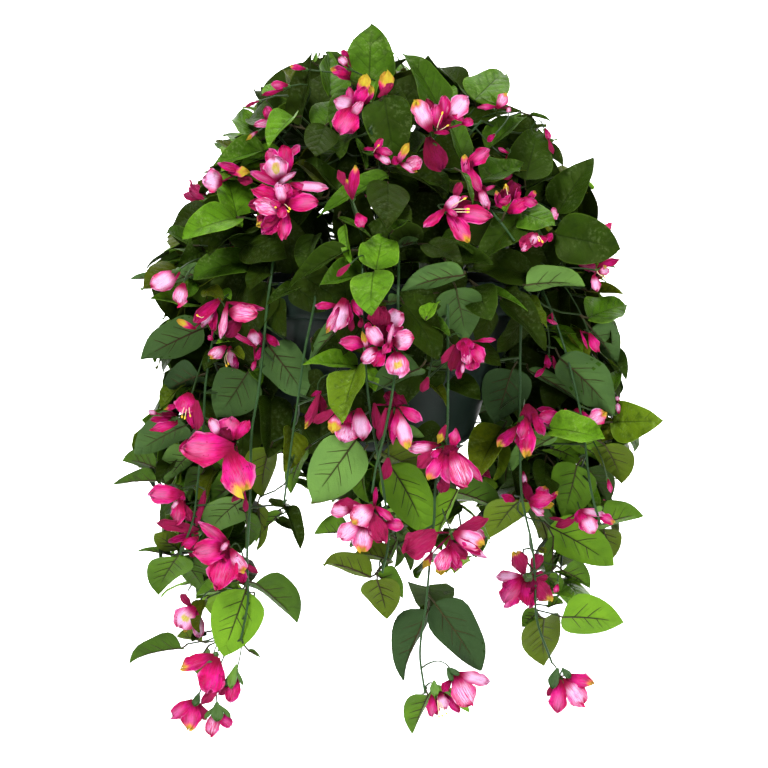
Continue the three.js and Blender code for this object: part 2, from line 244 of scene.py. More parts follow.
def shell(soup, top, under, uv, tint, mat, rim=None):
    """A closed sheet: its tint's last number is 0 on the upper side and 1 on the underside."""
    nu, nv = top.shape[:2]
    n = nu * nv
    v = np.concatenate([top.reshape(-1, 3), under.reshape(-1, 3)])
    col = np.tile(A(tint + (0.0,)), (2 * n, 1))
    col[n:, 3] = 1.0
    key = (nu, nv)
    if key not in FACES:
        FACES[key] = sheet_faces(nu, nv)
    soup.add(v, FACES[key], np.concatenate([uv.reshape(-1, 2)] * 2), col, mat,
             None if rim is None else np.concatenate([rim.ravel()] * 2))


def across(axis):
    """Two unit vectors square to the axis and to each other."""
    u = unit(np.cross(Z if abs(axis[2]) < 0.9 else RIGHT, axis))
    return u, np.cross(axis, u)


def tube(soup, points, radii, sides, tint, mat):
    """A closed round tube through the points."""
    p = np.asarray(points, float)
    t = np.gradient(p, axis=0)
    t /= np.linalg.norm(t, axis=1)[:, None] + 1e-9
    x = across(t[0])[0]
    rings, uv = [], []
    along = 0.0
    radii = np.broadcast_to(radii, (len(p),))
    for k in range(len(p)):
        x = unit(x - t[k] * (x @ t[k]))
        y = np.cross(t[k], x)
        ang = np.arange(sides) * 2 * math.pi / sides
        rings.append(p[k] + radii[k] * (np.cos(ang)[:, None] * x + np.sin(ang)[:, None] * y))
        if k:
            along += np.linalg.norm(p[k] - p[k - 1])
        uv.append(np.stack([np.full(sides, along * TUBE_UV), ang / 6.283], 1))
    v = np.concatenate(rings + [p[:1], p[-1:]])
    n, f = len(p), []
    for k in range(n - 1):
        for s in range(sides):
            q = (s + 1) % sides
            f.append((k * sides + s, k * sides + q, (k + 1) * sides + q, (k + 1) * sides + s))
    lo, hi = n * sides, n * sides + 1
    for s in range(0, sides, 2):                # caps as quads round their middle points
        q, r = (s + 1) % sides, (s + 2) % sides
        f.append((lo, r, q, s))
        f.append((hi, (n - 1) * sides + s, (n - 1) * sides + q, (n - 1) * sides + r))
    uv = np.concatenate(uv + [A([[0.0, 0.0], [along * TUBE_UV, 0.0]])])
    soup.add(v, A(f), uv, np.tile(A(tint + (0.0,)), (len(v), 1)), mat)


def bezier(a, b, c, n):
    """n points on the curve from a to c that bends towards b."""
    t = np.linspace(0, 1, n)[:, None]
    return (1 - t) ** 2 * a + 2 * t * (1 - t) * b + t ** 2 * c


# ---- leaves ---------------------------------------------------------------------------------
LEAF_L, LEAF_W = 54.0, 41.0
LEAF_HALF, PETAL_HALF = 0.2, 0.16   # half the thickness of the cloth
LEAF_STEPS, PETAL_STEPS = 32, 40    # steps in which a bend is added up along its length
LEAF_U = A([0, .03, .08, .15, .24, .34, .45, .56, .67, .77, .86, .93, .975, 1])
LEAF_F = A([.05, .36, .63, .85, .97, 1.0, .99, .945, .85, .70, .50, .28, .11, .01])
LEAF_F2 = A([.05, .44, .75, .94, 1.0, .97, .88, .75, .60, .45, .26, .12, .04, .0])     # a sharper one
LEAF_V = A([-1, -.72, -.42, -.16, 0, .16, .42, .72, 1])


def half_width(q, U):
    """Half the width (mm) of the leaf q at the shares U of its length."""
    f = np.interp(U, LEAF_U, LEAF_F) * (1 - q["sharp"]) + np.interp(U, LEAF_U, LEAF_F2) * q["sharp"]
    return f * q["W"] / 2


def leaf_surface(q, U, V, lift=0.0):
    """Points of the leaf q (a dict) at grid U x V, lift mm above its middle surface."""
    d, n = q["d"], q["n"]
    fine = np.linspace(0, 1, LEAF_STEPS + 1)
    bend = q["arc"] * (0.5 - fine) - q["hook"] * np.clip(fine - 0.6, 0, 1) ** 2 * 6
    step = q["L"] / LEAF_STEPS
    fx = np.concatenate([[0], np.cumsum(np.cos((bend[1:] + bend[:-1]) / 2)) * step])
    fz = np.concatenate([[0], np.cumsum(np.sin((bend[1:] + bend[:-1]) / 2)) * step])
    x, z, phi = np.interp(U, fine, fx), np.interp(U, fine, fz), np.interp(U, fine, bend)
    hw = half_width(q, U)
    side = np.cross(n, d)
    m = -np.sin(phi)[:, None] * d + np.cos(phi)[:, None] * n
    tw = q["twist"] * (U - 0.3)
    s2 = np.cos(tw)[:, None] * side + np.sin(tw)[:, None] * m
    m2 = -np.sin(tw)[:, None] * side + np.cos(tw)[:, None] * m
    yy = hw[:, None] * V[None, :]
    h = (np.sqrt(yy ** 2 + (0.05 * q["W"]) ** 2) - 0.05 * q["W"]) * math.sin(q["fold"])
    h -= q["curl"] * yy ** 2 / (q["W"] / 2)
    beat = q["freq"] * U[:, None] + q["phase"] + 2.1 * (V[None, :] > 0)
    h += q["wave"] * q["W"] / 2 * V[None, :] ** 2 * np.sin(beat)
    h += lift
    mid = q["base"] + x[:, None] * d + z[:, None] * n
    yy = yy * math.cos(q["fold"])
    return mid[:, None, :] + yy[..., None] * s2[:, None, :] + h[..., None] * m2[:, None, :]


# the grid of a leaf inside the plant, one at the sides or the back, and one seen from the front
GRIDS = [(LEAF_U[[0, 2, 4, 6, 8, 10, 12, 13]], LEAF_V[::2]),
         (LEAF_U[[0, 1, 2, 4, 6, 8, 10, 11, 12, 13]], LEAF_V[::2]), (LEAF_U, LEAF_V)]


RIB_U, RIB_R = A([0.0, .14, .3, .46, .62, .76]), A([.75, .65, .55, .45, .35, .2])
SIDE_RIBS = ((.16, 1), (.2, -1), (.36, 1), (.41, -1), (.56, 1))     # where each starts, and which way


def add_leaf(soup, q):
    """Adds a leaf with both its sides, and its ribs if it has detail."""
    U, V = GRIDS[q["detail"]]
    top = leaf_surface(q, U, V, LEAF_HALF)
    under = leaf_surface(q, U, V, -LEAF_HALF)
    hw = half_width(q, U)
    uv = np.stack([np.broadcast_to(U[:, None], top.shape[:2]), 0.5 + hw[:, None] * V[None, :] / q["L"]], -1)
    shell(soup, top, under, uv, (q["tone"], q["olive"], q["seed"]), LEAF,
          np.broadcast_to(np.abs(V)[None, :], top.shape[:2]))
    if q["detail"] == 0:
        return
    # moulded rib under the leaf, with side ribs
    every = 3 - q["detail"]
    rib = leaf_surface(q, RIB_U[::every], A([0.0]), -0.45)[:, 0]
    brown = (0.8 + 0.2 * q["seed"], 0.5, q["seed"])
    tube(soup, rib, RIB_R[::every], 4, brown, STEM)
    if q["detail"] == 1:
        return
    for u0, sgn in SIDE_RIBS:
        reach = 0.2 if u0 < .5 else 0.13
        pts = [leaf_surface(q, A([u0 + reach * k / 2]), A([sgn * 0.62 * k / 2]), -0.4)[0, 0]
               for k in range(3)]
        tube(soup, pts, A([.42, .34, .16]), 4, brown, STEM)


# Leaves read off the front of the basket: base x, y, tip x, y, apparent width and look.
# D dark, M middle, B bright, O olive, U underside; "+" lies in front of the blossoms.
# The dark and bright looks are partly the cloth's own tone and partly painted shade and painted light.
LEAVES = [
    (369, 88, 371, 23, 52, "MB"), (330, 96, 328, 47, 30, "MB"), (345, 95, 328, 62, 24, "DO"),
    (300, 125, 313, 51, 22, "D"), (313, 62, 316, 50, 4, "B"), (300, 100, 281, 65, 20, "DO"),
    (268, 95, 273, 79, 14, "B"), (262, 105, 253, 87, 10, "D"), (290, 125, 244, 112, 34, "DM"),
    (255, 122, 240, 109, 6, "B"), (262, 140, 227, 110, 26, "MB"), (238, 152, 213, 138, 8, "DO"),
    (294, 117, 270, 152, 22, "B+"), (294, 127, 299, 90, 7, "M"), (250, 143, 288, 128, 16, "D"),
    (266, 150, 212, 170, 22, "MB"), (282, 150, 240, 172, 14, "MB"), (384, 97, 395, 165, 50, "DM+"),
    (372, 103, 377, 76, 16, "B+"), (346, 100, 350, 80, 4, "B"), (325, 128, 338, 90, 30, "MB"),
    (348, 88, 330, 132, 12, "M"), (325, 126, 315, 160, 34, "D"), (350, 134, 340, 163, 20, "DM"),
    (337, 150, 322, 168, 14, "DM"), (345, 200, 303, 153, 16, "DM"), (330, 190, 290, 155, 16, "DO"),
    (366, 170, 354, 132, 6, "MB"), (385, 165, 450, 198, 25, "D"), (363, 152, 400, 170, 10, "M"),
    (350, 200, 390, 173, 16, "B"), (389, 175, 315, 217, 18, "MB"), (345, 225, 352, 268, 10, "B"),
    (338, 218, 372, 240, 6, "M"), (376, 270, 383, 231, 42, "B+"), (374, 272, 371, 317, 43, "B+"),
    (365, 275, 320, 287, 24, "MB"), (393, 230, 408, 218, 10, "MB"), (388, 184, 386, 232, 44, "D"),
    (440, 110, 405, 49, 35, "M"), (478, 105, 452, 75, 18, "M"), (462, 90, 439, 63, 20, "D"),
    (475, 100, 509, 64, 44, "MB"), (440, 105, 455, 82, 22, "MB"), (463, 160, 442, 108, 20, "M+"),
    (480, 97, 497, 106, 10, "MB"), (460, 125, 520, 113, 22, "D"), (487, 150, 529, 113, 22, "M"),
    (525, 180, 540, 124, 48, "DM"), (530, 115, 550, 124, 4, "M"), (482, 180, 525, 161, 28, "M+"),
    (405, 163, 431, 131, 22, "DM"), (390, 97, 408, 110, 14, "D"), (425, 175, 449, 195, 22, "DM"),
    (462, 172, 472, 208, 6, "M+"), (397, 248, 418, 241, 8, "U"), (440, 240, 473, 253, 16, "DM"),
    (448, 265, 492, 263, 22, "DM"), (528, 215, 478, 262, 35, "DM"), (519, 213, 553, 228, 32, "MB+"),
    (505, 212, 512, 198, 6, "B+"), (463, 275, 400, 290, 22, "U"), (425, 320, 442, 296, 14, "B"),
    (400, 262, 450, 270, 16, "D"), (475, 287, 490, 322, 38, "DM"), (456, 288, 468, 338, 48, "U+"),
    (485, 290, 526, 311, 8, "MB"), (505, 288, 519, 298, 18, "D"), (526, 285, 588, 283, 25, "UB"),
    (556, 235, 621, 250, 52, "DM"), (558, 213, 594, 158, 36, "DM"), (550, 200, 576, 160, 14, "O"),
    (525, 190, 562, 171, 14, "DM"), (530, 150, 562, 168, 20, "D"), (590, 292, 622, 295, 12, "O"),
    (588, 318, 631, 303, 32, "MB"), (592, 330, 621, 364, 26, "U"), (614, 391, 621, 369, 14, "MB"),
    (585, 290, 588, 350, 14, "DO"), (560, 358, 616, 415, 42, "U+"), (528, 370, 590, 407, 12, "U+"),
    (556, 335, 579, 363, 22, "B"), (567, 332, 586, 360, 18, "O"), (545, 330, 575, 335, 10, "MB"),
    (500, 300, 548, 350, 28, "D"), (520, 300, 545, 330, 18, "MO"), (512, 370, 497, 425, 50, "UD+"),
    (450, 380, 480, 400, 24, "D"), (430, 380, 450, 411, 10, "O"), (425, 365, 457, 371, 14, "U"),
    (420, 368, 372, 393, 28, "U"), (404, 304, 440, 360, 44, "D"), (430, 325, 450, 335, 12, "M"),
    (388, 302, 405, 300, 10, "U"), (245, 245, 289, 260, 38, "D"), (315, 235, 304, 275, 24, "DM"),
    (350, 250, 285, 288, 18, "DM"), (300, 288, 268, 305, 12, "DM"), (237, 217, 222, 168, 35, "B+"),
    (237, 219, 185, 241, 32, "B+"), (236, 219, 243, 228, 12, "B+"), (213, 215, 175, 228, 30, "D"),
    (190, 245, 163, 229, 14, "M"), (205, 250, 180, 266, 28, "DM"), (255, 225, 210, 255, 30, "D"),
    (252, 262, 190, 278, 32, "M"), (160, 278, 126, 278, 8, "U"), (178, 270, 145, 290, 34, "DO"),
    (205, 272, 162, 283, 14, "U+"), (193, 280, 190, 298, 12, "MB"), (200, 305, 154, 299, 20, "MB"),
    (205, 290, 225, 300, 16, "DO"), (222, 290, 232, 300, 10, "B"), (203, 328, 139, 360, 38, "U"),
    (200, 375, 158, 393, 26, "UD"), (182, 385, 162, 412, 18, "MO"), (190, 385, 178, 400, 12, "M"),
    (165, 420, 143, 420, 24, "MB"), (186, 425, 131, 455, 36, "U"), (248, 372, 214, 420, 54, "U"),
    (220, 350, 205, 370, 18, "D"), (222, 370, 236, 368, 10, "M"), (240, 340, 217, 344, 11, "B"),
    (233, 350, 245, 360, 10, "O"), (268, 345, 307, 398, 46, "U"), (270, 395, 270, 458, 34, "D"),
    (292, 430, 286, 472, 26, "O"), (270, 448, 259, 501, 32, "MO"), (350, 318, 308, 362, 14, "U"),
    (357, 366, 305, 363, 20, "B"), (357, 368, 342, 422, 34, "BO+"), (358, 368, 376, 392, 22, "B"),
    (252, 370, 262, 385, 12, "MB"), (356, 440, 311, 502, 56, "UB"), (305, 450, 287, 495, 18, "MB"),
    (362, 452, 365, 505, 20, "MB"), (340, 498, 309, 505, 16, "MO"), (285, 507, 302, 548, 14, "D"),
    (285, 508, 266, 501, 8, "D"), (282, 512, 252, 545, 12, "MB"), (277, 520, 296, 530, 10, "D"),
    (350, 532, 312, 537, 20, "MB"), (352, 545, 388, 555, 13, "B"), (390, 560, 354, 555, 20, "MO"),
    (371, 577, 322, 558, 24, "MO"), (377, 580, 388, 622, 40, "MO"), (376, 574, 404, 601, 18, "MB"),
    (396, 540, 384, 573, 14, "M"), (397, 540, 396, 570, 12, "M"), (400, 545, 411, 575, 12, "M"),
    (156, 468, 119, 460, 24, "M"), (158, 480, 108, 485, 14, "M"), (176, 457, 160, 482, 16, "D"),
    (150, 470, 165, 485, 16, "DM"), (192, 452, 161, 485, 30, "UB"), (205, 468, 186, 504, 18, "M"),
    (215, 470, 205, 505, 18, "DO"), (240, 480, 207, 505, 24, "M"), (242, 500, 202, 538, 38, "UB"),
    (246, 512, 245, 552, 15, "M"), (258, 502, 258, 553, 12, "MO"), (200, 530, 196, 560, 12, "M"),
    (205, 560, 206, 580, 12, "D"), (180, 550, 157, 532, 24, "MO"), (172, 555, 134, 552, 7, "M"),
    (178, 556, 152, 597, 38, "MB"), (180, 556, 205, 598, 34, "M"), (240, 592, 191, 598, 22, "MB"),
    (205, 600, 200, 630, 16, "DO"), (238, 580, 208, 590, 16, "B"), (246, 590, 222, 658, 54, "B"),
    (256, 583, 298, 626, 34, "M"), (248, 650, 260, 660, 4, "M"), (182, 648, 124, 664, 20, "M"),
    (203, 642, 173, 639, 18, "MO"), (204, 652, 200, 682, 18, "MB"), (205, 632, 192, 640, 10, "D"),
    (383, 452, 428, 478, 36, "MO"), (390, 440, 425, 436, 16, "UB"), (390, 465, 427, 537, 48, "B"),
    (395, 470, 430, 480, 16, "DM"), (457, 490, 433, 553, 22, "B+"), (457, 492, 505, 512, 30, "M"),
    (503, 428, 474, 478, 38, "O"), (497, 440, 494, 480, 14, "MO"), (495, 445, 520, 470, 20, "DM"),
    (507, 460, 518, 500, 20, "D"), (520, 500, 492, 543, 40, "BO"), (524, 500, 560, 535, 12, "U"),
    (553, 437, 511, 470, 24, "UB+"), (550, 428, 602, 438, 30, "B+"), (550, 448, 586, 464, 26, "B"),
    (576, 442, 612, 466, 24, "B"), (612, 422, 659, 420, 44, "BO"), (593, 430, 622, 428, 26, "O"),
    (612, 440, 630, 440, 16, "DM"), (605, 445, 627, 484, 34, "MO"), (577, 465, 567, 520, 46, "MB+"),
    (588, 467, 613, 507, 26, "DM"), (545, 462, 540, 498, 30, "D"), (562, 475, 577, 466, 10, "B"),
    (604, 507, 620, 505, 5, "MB"), (597, 511, 606, 509, 8, "O"), (603, 524, 647, 516, 28, "MB"),
    (603, 528, 616, 562, 24, "MO"), (549, 526, 616, 566, 44, "B"), (553, 535, 555, 597, 10, "M"),
    (562, 570, 594, 590, 24, "MB"), (548, 575, 560, 597, 18, "MB"), (540, 548, 547, 553, 8, "O"),
    (548, 607, 564, 601, 9, "MB"), (538, 612, 523, 629, 22, "MB"), (544, 618, 548, 673, 44, "MO"),
    (562, 617, 627, 624, 44, "B"), (435, 603, 482, 672, 46, "UD"), (428, 610, 399, 682, 30, "UD"),
    (432, 610, 412, 618, 10, "D"), (428, 695, 413, 743, 24, "MB"), (430, 700, 472, 716, 20, "B"),
    (384, 206, 412, 224, 26, "D"), (428, 244, 462, 266, 28, "D"), (600, 303, 607, 345, 22, "D"),
    (604, 350, 624, 380, 16, "DM"), (270, 262, 250, 290, 24, "D"),
]
# tone and olive share of each look
TONE = {"D": (.08, .1), "DM": (.26, .1), "M": (.45, .1), "MB": (.66, .1), "B": (.9, .05), "O": (.5, .9),
        "DO": (.16, .6), "MO": (.45, .5), "BO": (.75, .6), "U": (.5, 0), "UD": (.2, 0), "UB": (.85, 0)}

# Height and outline radius of the foliage.
ENVELOPE = [(-317, 180), (-274, 202), (-232, 195), (-190, 212), (-147, 227), (-105, 216), (-62, 200),
            (-20, 206), (23, 193), (65, 178), (108, 144), (150, 127), (180, 91), (212, 30)]
ENV_Z, ENV_R = A(ENVELOPE, float).T


def outline(z):
    """Outline radius of the foliage at height z."""
    return np.interp(z, ENV_Z, ENV_R)


def envelope(x, z):
    """Depth of the plant's front at x, z."""
    r = outline(z)
    return 0.86 * math.sqrt(max(0.0, r * r - x * x))


FRONT_VINES = ["vine_%02d" % i for i in range(1, 9)]
EMPTY = 1e9                         # stands for "nothing there" wherever distances are compared
FOOT_Y = 440                        # row below which leaves hang free of the pot
MAX_PITCH, MAX_ROLL = math.radians(40), math.radians(36)


def stem_depth(px, py):
    """Depth of the front vine nearest to a pixel."""
    best = (EMPTY, 60.0)
    for n in FRONT_VINES:
        line = LINES[n][OVER_RIM:]
        x, y = pixel(line)
        d = np.hypot(x - px, (y - py) * 0.6)
        k = int(np.argmin(d))
        if d[k] < best[0]:
            best = (d[k], -line[k][1])
    return best[1]


def first_depth(px, py):
    """Depth at which something seen at (px, py) is put first: on the crown above, near a vine below."""
    p = at(px, py, 60)
    crown = envelope(p[0], p[2]) - 14
    hang = stem_depth(px, py) + 6
    w = min(1.0, max(0.0, (py - 285) / 50))
    return crown * (1 - w) + min(hang, crown + 30) * w


def new_leaf(base, d, n, L, W, tone, olive, under=False, **more):
    """A leaf as a dict: its foot, the way it points and faces, size, look and random bends."""
    q = dict(base=A(base, float), d=unit(d), L=L, W=W, tone=tone, olive=olive, under=under, seed=rng.random(),
             fold=rng.uniform(0.15, 0.5), arc=rng.uniform(0.15, 0.85), curl=rng.uniform(0.0, 0.36),
             wave=rng.uniform(0.03, 0.13), phase=rng.uniform(0, 6.28), twist=rng.uniform(-0.4, 0.4),
             freq=rng.uniform(6.5, 11.5), hook=rng.uniform(-0.35, 0.8), sharp=rng.uniform(0.2, 1.0))
    n = np.asarray(n, float)
    q["n"] = unit(n - q["d"] * (n @ q["d"]))
    q["detail"] = 2
    q.update(more)
    return q


def read_leaf(row):
    """A leaf dict from a row of LEAVES, facing as its apparent length and width say."""
    bx, by, tx, ty, w, look = row
    look, ahead = look.rstrip("+"), look.endswith("+")
    tone, olive = TONE[look]
    under = look.startswith("U") or (by > FOOT_Y and tone > 0.25)
    depth = first_depth((bx + tx) / 2, (by + ty) / 2)
    depth += {"D": -10, "B": 6}.get(look[0], 0)
    k = (EYE_FAR - depth) / FOCAL
    seen = math.hypot(tx - bx, ty - by) * k
    L = LEAF_L * rng.uniform(0.94, 1.06)
    L = max(seen, min(L, seen / math.cos(MAX_PITCH)))
    pitch = math.acos(min(1.0, seen / L))
    W = L * rng.uniform(0.72, 0.8)
    wide = w * k
    fold = rng.uniform(0.12, 0.4)
    W = max(W, wide / math.cos(fold))
    share = wide / W                    # what fold, roll and a narrower leaf have to take up between them
    roll = min(MAX_ROLL, math.acos(min(1.0, share / math.cos(fold))))
    fold = max(fold, min(0.9, math.acos(min(1.0, share / math.cos(roll)))))
    W = wide / (math.cos(roll) * math.cos(fold))
    flat = unit(RIGHT * (tx - bx) + UP * (by - ty))
    tip_up = (by - ty) > 0.25 * abs(tx - bx)
    sign = -1 if tip_up else 1
    if under:
        sign = -sign
    d = flat * math.cos(pitch) + NEAR * math.sin(pitch) * sign
    n0 = unit(NEAR - d * (NEAR @ d))
    s = np.cross(n0, d)
    if s[2] < 0:
        s = -s
    if abs(s[2]) < 0.25 and rng.random() < 0.5:
        s = -s
    n = n0 * math.cos(roll) * (-1 if under else 1) + s * math.sin(roll)
    base = at(bx, by, depth - 8)
    q = new_leaf(base, d, n, L, W, tone, olive, under, arc=rng.uniform(0.1, 0.55), fold=fold)
    if by < FOOT_Y:
        q["wave"] = rng.uniform(0.05, 0.16)
        # a leaf of the crown, above row 300, is made a tenth darker: painted shade
        q["tone"] *= 0.9 if by < 300 else 0.8 if under else 1.0
        if under:
            q["sharp"] = rng.uniform(0.0, 0.4)
    else:
        q["tone"] *= 0.88
        q["sharp"] = rng.uniform(0.0, 0.5)
    q["ahead"] = ahead
    q["area"] = seen * wide
    return q


# ---- what hides what, seen from the front --------------------------------------------------------
CELL = 6
BINS = FRAME // CELL
deepest = np.full((BINS, BINS), EMPTY)          # distance from the eye of the farthest thing placed in a cell
nearest_seen = np.full((BINS, BINS), EMPTY)     # and of the nearest
PLACE_U, PLACE_V = np.linspace(0.02, 0.98, 14), np.linspace(-0.95, 0.95, 9)


def middle(i, j):
    """The pixel in the middle of a cell."""
    return (j + 0.5) * CELL, (i + 0.5) * CELL


def cells(points):
    """Cell row and column of points, and their distance from the eye."""
    p = points.reshape(-1, 3)
    x, y = pixel(p)
    far = (p - EYE) @ FWD
    i, j = np.clip((y // CELL).astype(int), 0, BINS - 1), np.clip((x // CELL).astype(int), 0, BINS - 1)
    return i, j, far


def push_back(points, clearance, most):
    """How far along the line of sight points must move to lie behind all placed so far."""
    i, j, far = cells(points)
    d = deepest[i, j]
    here = d < EMPTY
    if not here.any():
        return 0.0
    return float(min(most, max(0.0, (d[here] - far[here] + clearance).max())))


def mark(points):
    """Notes that points are placed."""
    i, j, far = cells(points)
    old = deepest[i, j]
    deepest[i, j] = np.where(old < EMPTY, np.maximum(old, far), far)
    np.minimum.at(nearest_seen, (i, j), far)


def hiding(i, j, far):
    """Share of the points that would hide something already placed."""
    seen = nearest_seen[i, j]
    return ((seen < EMPTY) & (far < seen - 1)).mean()


POT_Z, POT_R = A([-140, -130, -103, -66, -28, 0]), A([72, 80, 88, 104, 125, 126])
POT_GAP = 2.5                       # leaves stay this far from its wall


def in_pot(pts):
    """How far (mm) the worst of the points lies inside the pot's outer wall."""
    p = np.reshape(pts, (-1, 3))
    wall = np.interp(p[:, 2], POT_Z, POT_R) + POT_GAP - np.hypot(p[:, 0], p[:, 1])
    return float(np.where((p[:, 2] < 3) & (p[:, 2] > -143), wall, -1e3).max())


def freed(q, clearance, most, step):
    """The move along the line of sight that brings a leaf behind what is placed and out of the pot."""
    pts = leaf_surface(q, PLACE_U, PLACE_V)
    ray = unit(pts.reshape(-1, 3).mean(0) - EYE)
    shift = push_back(pts, clearance, most)
    while shift > -60 and in_pot(pts + ray * shift) > 0:
        shift -= step
    return ray * shift, pts + ray * shift


def settle(q, clearance=2.0, most=34.0):
    """Moves a leaf to where it is free, and notes it."""
    move, pts = freed(q, clearance, most, 3)
    q["base"] = q["base"] + move
    mark(pts)
